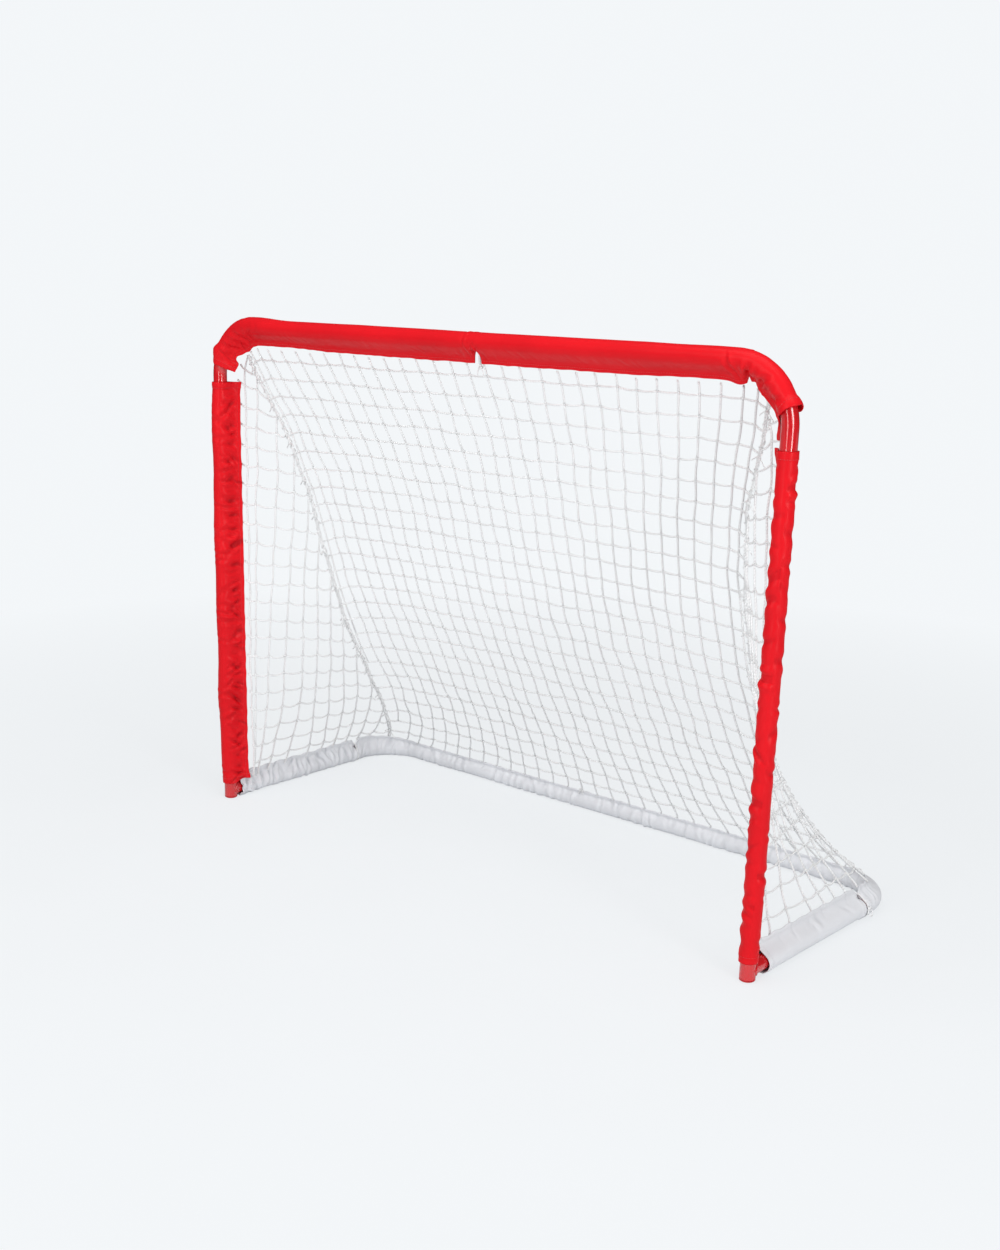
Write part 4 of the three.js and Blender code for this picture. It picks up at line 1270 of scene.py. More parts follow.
    def build(self, material: Material, thread: Material, slot: str, node: str) -> Piece:
        """Makes the sleeve and its sewing.

        Args:
            material: The cloth.
            thread: The sewing thread.
            slot: Name of the cloth's slot, handed on to the pieces.
            node: The CAD node that it stands for.

        Returns:
            The sleeve.
        """
        outer, inner, crease_shade, s = self.surface()
        rows, columns = outer.shape[:2]
        points = np.concatenate([outer, inner[::-1]])
        quads = grid_quads(2 * rows, columns, True, True)
        chord = np.linalg.norm(np.diff(outer, axis=1, append=outer[:, :1]), axis=2)
        v = np.concatenate([[0.0], np.cumsum(np.median(chord, axis=0))])
        u = np.concatenate([s, s[::-1], s[:1]])
        r, c = np.divmod(np.arange(len(quads)), columns)
        uv = np.stack([np.stack([u[r], v[c]], -1), np.stack([u[r], v[c + 1]], -1),
                       np.stack([u[r + 1], v[c + 1]], -1), np.stack([u[r + 1], v[c]], -1)], 1)
        piece = new_piece(self.name, points, quads, None, uv)
        # The creases' painted shade goes onto the points as an attribute.
        attribute = piece.data.attributes.new("crease_shade", "FLOAT", "POINT")
        both = np.concatenate([crease_shade, crease_shade[::-1]]).ravel().astype(np.float32)
        attribute.data.foreach_set("value", both)
        face_outwards(piece)
        place(piece, material, slot, node)
        self.sewing(outer, s, thread, slot)
        return piece

    def sewing(self, outer: Array, s: Array, thread: Material, slot: str) -> Piece:
        """Stitches along both faces of the seam and round both end hems.

        Args:
            outer: The cloth's outer face.
            s: Its stations.
            thread: The thread's material.
            slot: Name of a slot, handed on to the piece.

        Returns:
            All the stitches as one piece.
        """
        along = np.gradient(outer, axis=0)
        normal = unit(np.cross(along, np.roll(outer, -1, 1) - np.roll(outer, 1, 1)))
        far = self.seam_points * 2 + 4 + self.tent_points + self.round_points // 2
        if np.sum(normal[:, far] * (outer[:, far] - outer[:, self.seam_points + 1])) < 0:
            normal = -normal
        share = np.linspace(-0.5, 0.5, 5) * self.stitch
        rise = np.array([-1.0, 0.6, 1.0, 0.6, -1.0]) * self.stitch_lift
        run = np.abs(s - s[0])
        paths = []

        def stitch(line: Array, out: Array, walk: Array) -> None:
            """Lays stitches along one line of the cloth.

            Args:
                line: Points of the line.
                out: Directions out of the cloth.
                walk: Distance walked at each point.
            """
            middles = np.arange(0.004, walk[-1] - 0.004, self.stitch + self.stitch_pause)
            at = middles[:, None] + share[None]
            path = np.stack([np.interp(at, walk, line[:, k]) for k in range(3)], -1)
            away = np.stack([np.interp(at, walk, out[:, k]) for k in range(3)], -1)
            paths.append(path + away * rise[:, None])

        for column in (1, self.seam_points + 4 + self.seam_points - 2):
            stitch(outer[:, column], normal[:, column], run)
        for end in (self.hem_stitch, run[-1] - self.hem_stitch):
            row = int(np.argmin(np.abs(run - end)))
            stitch(outer[row], normal[row], walked(outer[row]))
        every = np.concatenate(paths)
        reference = unit(np.cross(every[:, -1] - every[:, 0], [0.3, 0.5, 0.81]))[:, None]
        piece = sweep(f"{self.name}_sewing", every, np.array(self.stitch_radii), reference, sides=5)
        return place(piece, thread, slot)


@dataclass(frozen=True)
class Pucker:
    """A deep fold across the inside of a bend, with a crest on either side."""

    side: Side
    lean: float
    beyond: float
    width: float
    depth: float

    def over(self, s: Array, x: Array, bend: float) -> Array:
        """Height of the cloth over its straight cut.

        It is depth * (0.6 exp(-(t - 1.3)^2) + 0.6 exp(-(t + 1.3)^2) - exp(-t^2)), where
        t runs along the bar in widths and leans with the distance from the tube.

        Args:
            s: Distances along the bar.
            x: Places across the section, towards the flap.
            bend: Where the bend starts.

        Returns:
            Heights, in metres.
        """
        t = (self.side.value * s + self.lean * x - (bend + self.beyond)) / self.width
        crests = 0.6 * np.exp(-((t - 1.3) ** 2)) + 0.6 * np.exp(-((t + 1.3) ** 2))
        return self.depth * (crests - np.exp(-(t**2)))


@dataclass
class CrossbarSleeve(Sleeve):
    """The long red sleeve over the crossbar and both top corners."""

    arch_at: float = 0.0262
    arch_width: float = 0.0148
    arch_depth: float = 0.023
    bend: float = 0.5175
    middle_reach: float = 0.0395
    corner_reach: float = 0.0362
    puckers: tuple[Pucker, ...] = (
        Pucker(Side.RIGHT, lean=-0.35, beyond=-0.010, width=0.0050, depth=0.0026),
        Pucker(Side.RIGHT, lean=0.25, beyond=0.026, width=0.0056, depth=0.0056),
        Pucker(Side.RIGHT, lean=0.45, beyond=0.062, width=0.0072, depth=0.0050),
        Pucker(Side.RIGHT, lean=0.6, beyond=0.098, width=0.0060, depth=0.0034),
        Pucker(Side.LEFT, lean=-0.5, beyond=-0.004, width=0.0060, depth=0.0020),
        Pucker(Side.LEFT, lean=0.6, beyond=0.036, width=0.0080, depth=0.0030),
        Pucker(Side.LEFT, lean=0.3, beyond=0.078, width=0.0070, depth=0.0024))

    def reach(self, s: Array) -> Array:
        """Narrower towards the bends, with an arch over the joint and cut corners.

        Args:
            s: Distances along the bar.

        Returns:
            Distance from the tube's middle to the sewn edge.
        """
        across = np.clip(np.abs(s - self.arch_at) / (self.arch_width / 2), 0, 1)
        width = lerp(self.middle_reach, self.corner_reach, ease(np.abs(s), 0.30, 0.46))
        width = width - self.arch_depth * np.sqrt(1 - across**2)
        width = width - 0.011 * np.clip(1 - np.abs(s - self.bend - 0.019) / 0.004, 0, 1)
        torn = np.abs(noise(np.stack([s / 0.010, 0 * s, 0 * s], -1), 4))
        torn = torn * ease(s, self.bend, self.bend + 0.04)
        width = width + 0.003 * bump_at(s, self.bend - 0.003, 0.016) - 0.0018 * torn
        width = width + 0.005 * bump_at(s, -self.bend - 0.044, 0.024)
        width = width - 0.006 * bump_at(s, -self.bend - 0.088, 0.011)
        return width + 0.006 * ease(-s, self.bend + 0.094, self.bend + 0.099)

    def angle(self, s: Array) -> Array:
        """The same all along the crossbar, and it buckles where the bend takes it in.

        Args:
            s: Distances along the bar.

        Returns:
            Radians round the tube.
        """
        b = self.bend
        right = (-10 * bump_at(s, b + 0.001, 0.017) + 9 * bump_at(s, b + 0.029, 0.011)
                 - 11 * bump_at(s, b + 0.070, 0.026) + 6 * ease(s, b + 0.105, b + 0.145))
        left = -2 * ease(-s, b - 0.02, b) - 13 * ease(-s, b + 0.055, b + 0.10)
        level = self.cloth.angles[0]
        return np.radians(level + right + left - 12 * ease(-s, b + 0.10, b + 0.125))

    def creasing(self, s: Array, x: Array, y: Array) -> Array:
        """Nearly smooth along the crossbar, creased at its middle and round the bends."""
        bends = ease(np.abs(s), self.bend - 0.03, self.bend + 0.01)
        return 0.16 + 0.7 * bends + 0.55 * bump_at(s, self.arch_at, 0.03)

    def slack(self, s: Array, x: Array, y: Array) -> Array:
        """A crease down over the joint, puckers inside the bends and flared ends.

        Args:
            s: Distances along the bar.
            x: Places across the section, towards the flap.
            y: Places square to the flap.

        Returns:
            How far the cloth stands off its straight cut.
        """
        joint = -0.0008 * bump_at(s, self.arch_at - 0.0165, 0.002)
        joint = joint + 0.0007 * bump_at(s, self.arch_at - 0.011, 0.003)
        tuck = np.exp(-(((s - self.arch_at + 0.004 + 0.35 * (x - 0.012)) / 0.003) ** 2))
        tuck = -0.0030 * tuck * ease(x, 0.002, 0.010)
        button = 0.0010 * bump_at(s, self.arch_at, 0.008) * ease(y, 0.004, 0.012)
        near_start, near_end = self.from_ends(s)
        outside = np.clip(-x / self.cloth.radius, -0.3, 1) + 0.3
        left = 0.0046 * bump_at(near_start, 0.020, 0.012)
        left = left + 0.0030 * bump_at(-s, self.bend - 0.02, 0.05)
        flare = 0.0052 * (1 - ease(near_end, 0.0, 0.020)) * outside + left * outside
        front = ease(-y, -0.003, 0.005) * ease(x, -0.012, 0.006)
        folds = sum(sum(p.over(s, x, self.bend) for p in self.puckers if p.side is side)
                    for side in (Side.RIGHT, Side.LEFT))
        return joint + tuck + button + flare + front * folds + 0.0003

    def slant(self, s: Array, x: Array, y: Array) -> Array:
        """The flap hangs on below the cloth that goes round the tube.

        Args:
            s: Distances along the bar.
            x: Places across the section, towards the flap.
            y: Places square to the flap.

        Returns:
            How far the cloth runs on along the bar.
        """
        near_start, near_end = self.from_ends(s)
        flap = ease(x, 0.004, self.cloth.radius + 0.012)
        outer = ease(-x, 0.0, 0.014)
        right = (0.040 * flap - 0.007 * outer) * (1 - ease(near_end, 0.0, 0.06))
        left = (0.004 * flap - 0.008 * outer) * (1 - ease(near_start, 0.0, 0.04))
        hang = -0.30 * np.maximum(x - self.cloth.radius, 0) * bump_at(s, self.arch_at, 0.022)
        return right - left + hang


@dataclass
class PostSleeve(Sleeve):
    """A red sleeve on a post, creased where it has slid down and the net pulls it."""

    flap_reach: float = 0.0363
    outer_slack: float = 0.0
    top_turn: float = 0.0
    round_share: float = 0.5

    def reach(self, s: Array) -> Array:
        """A little wider at the top, and wider still at the foot."""
        near_start, near_end = self.from_ends(s)
        top = self.flap_reach + 0.0015 - 0.0015 * ease(near_start, 0.0, 0.05)
        return top + 0.003 * (1 - ease(near_end, 0.0, 0.04))

    def angle(self, s: Array) -> Array:
        """Pulled back by the side net, less at the top."""
        near_start = self.from_ends(s)[0]
        return np.radians(self.cloth.angles[1] - self.top_turn * (1 - ease(near_start, 0.0, 0.06)))

    def creasing(self, s: Array, x: Array, y: Array) -> Array:
        """Stronger towards the flap, calmer at the top and away from the flap."""
        near_start = self.from_ends(s)[0]
        across = lerp(self.round_share, 1.0, ease(x, -0.012, 0.010))
        return across * (0.55 + 0.45 * ease(near_start, 0.01, 0.07))

    def slack(self, s: Array, x: Array, y: Array) -> Array:
        """It stands off the outside of the post between its two ends, pinched in places.

        Args:
            s: Distances along the bar.
            x: Places across the section, towards the flap.
            y: Places square to the flap.

        Returns:
            How far the cloth stands off its straight cut.
        """
        near_start, near_end = self.from_ends(s)
        held = ease(near_start, 0.0, 0.09) * ease(near_end, 0.0, 0.10)
        uneven = 0.75 + 0.5 * noise(np.stack([s / 0.075, 0 * s, 0 * s], -1), self.seed + 40)
        pinch = 0.0007 * noise(np.stack([s / 0.03, 0 * s, 0 * s + 0.5], -1), self.seed + 41)
        outside = ease(-x, -0.006, 0.012)
        return 0.0004 + (self.outer_slack * uneven + pinch) * held * outside

    def slant(self, s: Array, x: Array, y: Array) -> Array:
        """The foot of the flap is cut up at a slant."""
        near_end = self.from_ends(s)[1]
        flap = ease(x, 0.006, self.cloth.radius + 0.014)
        return -math.copysign(1.0, self.end) * 0.008 * flap * (1 - ease(near_end, 0.0, 0.03))


@dataclass
class BaseSleeve(Sleeve):
    """A white sleeve on the base bar, loose on the tube and resting on the floor."""

    gathered: float = 0.0
    button_at: float | None = None
    tied_both: bool = False

    def from_tie(self, s: Array) -> Array:
        """Distance from the nearest end that a tie draws in."""
        near_start, near_end = self.from_ends(s)
        return np.minimum(near_start, near_end) if self.tied_both else near_start

    def reach(self, s: Array) -> Array:
        """The flap's corner is cut away beside a tie."""
        return super().reach(s) - 0.013 * (1 - ease(self.from_tie(s), 0.001, 0.013))

    def creasing(self, s: Array, x: Array, y: Array) -> Array:
        """Smooth, but for folds where the sleeve is gathered."""
        near_end = self.from_ends(s)[1]
        return 0.40 + self.gathered * (0.45 + 0.35 * (1 - ease(near_end, 0.05, 0.20))) + 0 * x

    def slack(self, s: Array, x: Array, y: Array) -> Array:
        """Folds that run out from the gathered end, and room for a snap button.

        Args:
            s: Distances along the bar.
            x: Places across the section, towards the flap.
            y: Places square to the flap.

        Returns:
            How far the cloth stands off its straight cut.
        """
        near_end = self.from_ends(s)[1]
        turn = np.arctan2(y, x)
        fan = np.cos(turn * 8 + 0.7 + near_end * 60) * (1 - ease(near_end, 0.0, 0.06))
        gather = self.gathered * (0.0034 * np.maximum(fan, -0.1))
        tied = self.from_tie(s)
        gather = gather - 0.0008 * (1 - ease(tied, 0.0, 0.004))
        gather = gather + 0.0007 * bump_at(tied, 0.010, 0.005)
        if self.button_at is None:
            return gather
        return gather + 0.0012 * bump_at(s, self.button_at, 0.008) * ease(y, 0.004, 0.012)


# ---- the net
@dataclass(frozen=True)
class SeamShape:
    """How the slack net is drawn between its four held edges."""

    place: float
    margin: float = 0.0026
    draw_in: float = 0.087
    draw_skew: float = 1.3
    draw_power: float = 3.6
    forward: float = 0.066
    forward_skew: float = 0.012
    drop: float = 0.001
    drop_skew: float = 0.009
    centre_back: float = 0.010
    centre_back_skew: float = 0.005
    centre_lift: float = 0.019
    centre_lift_skew: float = 0.008
    side_belly: float = 0.012
    edge_gap: float = 0.00085
    cord: float = 0.003


@dataclass
class Net:
    """The knotted net: a back and two sides of square mesh, laced down two seams."""

    sizes: GoalSizes
    front: Cloth
    rear: Cloth
    shape: SeamShape
    finishes: Finishes
    cord: float = 0.0017
    mesh: float = 0.0375
    columns: float = 31.25
    column_phase: float = 0.2
    rows: int = 25
    first_row: float = 0.022
    last_row: float = 0.967
    row_swell: float = 0.008
    row_skew: float = 0.006
    column_lean: float = 0.043
    sleeve_start: float = 0.036
    slack: float = 0.0018
    side_slack: float = 2.8
    rim: float = 0.012
    unevenness: float = 0.0030
    cord_steps: int = 5
    knot_size: float = 1.5
    knot_shares: Triple = (1.25, 0.95, 0.85)
    border_steps: int = 300
    seam_steps: int = 440
    wind_radius: float = 0.0036
    wind_cord: float = 0.0010
    seam_knot: Triple = (0.0044, 0.0040, 0.0038)
    tail_steps: int = 6
    tail_fall: float = 0.009

    def edge(self, cloth: Cloth, distance: Array, facing: Array) -> Array:
        """Where the net leaves the sewn edge, clear of it by half a cord that leans.

        Args:
            cloth: The sleeve's cloth.
            distance: Places along its bar.
            facing: Direction square to the net.

        Returns:
            The points.
        """
        out = cloth.edge(distance, 0 * np.asarray(distance, float))[1]
        lean = np.abs(out @ facing)
        return cloth.edge(distance, self.shape.edge_gap + lean * self.shape.cord / 2)[0]

    @property
    def backward(self) -> Array:
        """Direction square to the line from the crossbar's edge to the rear bar's."""
        zero = np.zeros(1)
        rise = self.front.edge(zero, zero)[0] - self.rear.edge(zero, zero)[0]
        return unit(np.cross(rise, ACROSS))[0]

    def seam(self, side: int, v: Array, margin: float = 0.0) -> Array:
        """The seam from its top at 0 to its bottom at 1.

        Straight between the two corners, plus x drawn in by 1 - |2 v^skew - 1|^power,
        and y and z moved by sines of one and two half waves.

        Args:
            side: -1 for left and 1 for right.
            v: Shares of the way down.
            margin: Distance round both corners from the lacing.

        Returns:
            The points.
        """
        shape = self.shape
        v = np.clip(np.asarray(v, float), 0, 1)
        facing = ACROSS if margin > 0 else self.backward
        where = side * (shape.place + margin) + 0 * v
        top = self.edge(self.front, where, facing)
        point = lerp(top, self.edge(self.rear, where, facing), v[..., None])
        drawn = 1 - np.abs(2 * v**shape.draw_skew - 1) ** shape.draw_power
        one, two = np.sin(np.pi * v), np.sin(2 * np.pi * v)
        point[..., 0] -= side * shape.draw_in * drawn
        point[..., 1] += -shape.forward * one + shape.forward_skew * two
        point[..., 2] += -shape.drop * one + shape.drop_skew * two
        return point

    def back(self, u: Array, v: Array) -> Array:
        """The back net: a patch between its four edges, slack in the middle.

        The patch is the blend across plus the blend down, less the blend of its corners.

        Args:
            u: Shares of the way across.
            v: Shares of the way down.

        Returns:
            The points.
        """
        shape = self.shape
        where = (2 * u - 1) * (shape.place - shape.margin)
        top = self.edge(self.front, where, self.backward)
        low = self.edge(self.rear, where, self.backward)
        down = v[..., None]

        def edges(w: Array) -> Array:
            """Straight across between the two seams."""
            left, right = (self.seam(side.value, w, -shape.margin) for side in Side)
            return lerp(left, right, u[..., None])

        none, full = np.zeros_like(v), np.ones_like(v)
        point = lerp(top, low, down) + edges(v) - lerp(edges(none), edges(full), down)
        middle = 1 - (2 * u - 1) ** 4
        one, two = np.sin(np.pi * v), np.sin(2 * np.pi * v)
        point[..., 1] += middle * (shape.centre_back * one + shape.centre_back_skew * two)
        point[..., 2] += middle * (shape.centre_lift * one - shape.centre_lift_skew * two)
        return point

    @property
    def side_start(self) -> float:
        """Distance along the base bar where a side net starts."""
        return self.sizes.behind_post(self.sleeve_start)

    def side(self, side: int, back: Array, up: Array) -> Array:
        """A side net between the post, the seam and the base bar.

        Args:
            side: -1 for left and 1 for right.
            back: Shares of the way back from the post to the seam.
            up: Shares of the way up the post.

        Returns:
            The points.
        """
        shape = self.shape
        foot_z = self.edge(self.rear, np.array([self.side_start]), ACROSS)[0, 2]
        foot = self.sizes.at_height(foot_z)
        last = shape.place + shape.margin
        along = back[..., None]
        post = self.edge(self.front, side * lerp(foot, last, up), ACROSS)
        point = lerp(post, self.seam(side, 1 - up, shape.margin), along)
        start = self.edge(self.front, side * foot + 0 * up, ACROSS)
        end = self.seam(side, np.ones_like(up), shape.margin)
        floor = self.edge(self.rear, side * lerp(self.side_start, last, back), ACROSS)
        held = lerp(start, floor, np.clip(along * 2.5, 0, 1))
        point = point + (held - lerp(start, end, along)) * ((1 - up) ** 4)[..., None]
        point[..., 0] -= side * shape.side_belly * np.sin(np.pi * up) * np.sin(np.pi * back)
        return point

    def jitter(self, points: Array, seed: int) -> Array:
        """Small unevenness of a hand-hung net, smooth from knot to knot."""
        shift = [noise(points / 0.05 + 31.7 * k, seed + k) for k in range(3)]
        return points + self.unevenness * np.stack(shift, -1)

    def lattice(self, lines: list[Array], crossings: list[Array],
                hang: Callable[[Array], Array], slack: float) -> list[Piece]:
        """Cords from crossing to crossing along every line of a net, and its knots.

        Each cord runs straight between its ends on the flat net, is carried to the
        hanging net, and sags by slack * 4 t (1 - t) if it is level. A knot is wider
        than the cord and lies flat against the net.

        Args:
            lines: Flat places along each line.
            crossings: Flat places of the crossings.
            hang: Carries flat places to the hanging net.
            slack: How far the level cords sag.

        Returns:
            The cords and the knots.
        """
        starts = np.concatenate([line[:-1] for line in lines])
        ends = np.concatenate([line[1:] for line in lines])
        t = np.linspace(0, 1, self.cord_steps)
        paths = hang(starts[:, None] + (ends - starts)[:, None] * t[:, None])
        level = np.abs(starts[:, 1] - ends[:, 1]) < 1e-9
        paths[..., 2] -= np.where(level, slack, 0.0)[:, None] * 4 * t * (1 - t)
        tangent = unit(paths[:, -1] - paths[:, 0])
        reference = np.where(np.abs(tangent @ BACK)[:, None] > 0.8, UP, BACK)[:, None]
        flat = np.concatenate(crossings)
        centres = hang(flat)
        x = unit(hang(flat + [1e-3, 0.0]) - centres)
        z = unit(np.cross(x, hang(flat + [0.0, 1e-3]) - centres))
        y = np.cross(z, x)
        turn = np.stack([unit(x + y), unit(y - x), z], 1)
        grow = 1 + 0.12 * noise(centres / 0.01, 77)
        sizes = np.stack([share * (self.knot_size * self.cord) * grow
                          for share in self.knot_shares], -1)
        return [sweep("cords", paths, self.cord, reference), lumps("knots", centres, turn, sizes)]

    def back_lattice(self) -> tuple[list[Array], list[Array]]:
        """Flat places along every row and column of the back net.

        Rows lie a little further apart towards the top and the floor, and columns
        lean to one side low down, as a slack net hangs.

        Returns:
            The lines and the crossings.
        """
        level = np.linspace(self.first_row, self.last_row, self.rows)
        one, two = np.sin(np.pi * level), np.sin(2 * np.pi * level)
        level = level + self.row_swell * one + self.row_skew * two
        number = np.arange(-22, 23)
        centre = 0.5 + (number - self.column_phase) / self.columns
        lines, crossings = [], []
        for v, shift in zip(level, self.lean(level)):
            u = centre + shift
            u = u[(u > self.rim) & (u < 1 - self.rim)]
            full = np.concatenate([[0.0], u, [1.0]])
            lines.append(np.stack([full, np.full(len(full), v)], -1))
            crossings.append(np.stack([u, np.full(len(u), v)], -1))
        ends = np.concatenate([[-0.012], level, [1.010]])
        for c in centre:
            u = c + self.lean(ends)
            inside = (u > self.rim) & (u < 1 - self.rim)
            if inside.sum() > 1:
                lines.append(np.stack([u, ends], -1)[inside])
        return lines, crossings

    def lean(self, v: Array) -> Array:
        """How far the columns stray sideways, as a share of the net's width."""
        low = np.clip((v - 0.62) / 0.38, 0, 1)
        return 0.004 * np.sin(3 * np.pi * v) - self.column_lean * low**2

    def build_back(self) -> None:
        """Builds the back net."""
        def hang(flat: Array) -> Array:
            """From the flat net to the hanging back net."""
            u, v = np.clip(flat[..., 0], 0, 1), np.clip(flat[..., 1], -0.02, 1.02)
            return self.jitter(self.back(u, v), 3)

        pieces = self.lattice(*self.back_lattice(), hang, self.slack)
        place(join("knotted_net_back", pieces), self.finishes.yarn, "net_yarn", "net_back")

    def build_side(self, side: Side) -> None:
        """Builds one side net, its columns in line with the post and cut off by the seam.

        Args:
            side: Which side.
        """
        foot_z = self.edge(self.rear, np.array([self.side_start]), ACROSS)[0, 2]
        width = self.side_start - self.shape.place
        height = self.sizes.at_height(foot_z) - self.shape.place

        def hang(flat: Array) -> Array:
            """From the flat net to the hanging side net.

            Args:
                flat: Metres back from the post and up it.

            Returns:
                The points.
            """
            up = np.clip(flat[..., 1] / height, -0.02, 1)
            room = np.maximum(width * (1 - up), 0.02)
            points = self.side(side.value, np.clip(flat[..., 0] / room, -0.3, 1), up)
            return self.jitter(points, 40 + side.value)

        xs = (np.arange(30) + 0.45) * self.mesh
        ys = (np.arange(40) + 0.55) * self.mesh
        lines, crossings = [], []
        for y in ys[ys < height * 0.955]:
            end = width * (1 - y / height)
            inside = xs[xs < end - 0.004]
            full = np.concatenate([[-0.010], inside, [end]])
            lines.append(np.stack([full, np.full(len(full), y)], -1))
            crossings.append(np.stack([inside, np.full(len(inside), y)], -1))
        for x in xs[xs < width * 0.97]:
            end = height * (1 - x / width)
            full = np.concatenate([[-0.012], ys[ys < end - 0.004], [end]])
            lines.append(np.stack([np.full(len(full), x), full], -1))
        pieces = self.lattice(lines, crossings, hang, self.side_slack * self.slack)
        rise = np.linspace(0.0, height, self.border_steps)
        rim = hang(np.stack([0 * rise, rise], -1))[None]
        pieces.append(sweep("border", rim, self.cord, ACROSS))
        place(join(f"knotted_net_side_{side.word}", pieces), self.finishes.yarn, "net_yarn",
              f"net_side_{side.word}")

    def build_lacing(self, side: Side) -> None:
        """Builds the seam: the two nets' edge cords, a cord wound round them, and knots.

        The winding is a helix about the seam: its middle line plus the radius times
        cos and sin of a steady turn.

        Args:
            side: Which side.
        """
        k = side.value
        v = np.linspace(0.0, 1.0, self.seam_steps)
        before, middle, beyond = (self.jitter(self.seam(k, v, share * self.shape.margin), 90 + k)
                                  for share in (-1.0, 0.0, 1.0))
        run = walked(middle)
        tangent = unit(np.gradient(middle, axis=0))
        out = unit(ACROSS * k - (tangent @ ACROSS)[:, None] * k * tangent)
        other = np.cross(tangent, out)
        turn = run * 2 * np.pi / (self.mesh / 2)
        wobble = 1 + 0.25 * noise(middle / 0.02, 12)
        round_it = out * np.cos(turn)[:, None] + other * np.sin(turn)[:, None]
        wind = middle + self.wind_radius * wobble[:, None] * round_it
        edges = sweep("edge_cords", np.stack([before, beyond]), self.cord, ACROSS)
        winding = sweep("winding", wind[None], self.wind_cord, ACROSS)
        places = np.arange(self.mesh * 0.7, run[-1], 2 * self.mesh)
        index = np.searchsorted(run, places).clip(1, len(run) - 1)
        axes = np.stack([tangent[index], out[index], other[index]], 1)
        knots = lumps("seam_knots", middle[index], axes, np.array(self.seam_knot), 10, 7)
        sway = np.linspace(0, 1, self.tail_steps)[:, None] ** 1.5
        tails = []
        for sign in (-1.0, 1.0):
            lead = np.linspace(0.002, 0.013, self.tail_steps)[:, None]
            lead = out[index][:, None] * sign * lead
            fall = -UP * sway * self.tail_fall
            aside = other[index][:, None] * 0.002 * sign
            tails.append(middle[index][:, None] + lead + fall + aside)
        ends = sweep("tails", np.concatenate(tails), self.wind_cord, BACK)
        piece = join(f"seam_cords_{side.word}", [edges, winding, knots, ends])
        place(piece, self.finishes.yarn, "net_yarn", f"seam_lacing_{side.word}")

    def build(self) -> None:
        """Builds the whole net."""
        self.build_back()
        for side in Side:
            self.build_side(side)
            self.build_lacing(side)


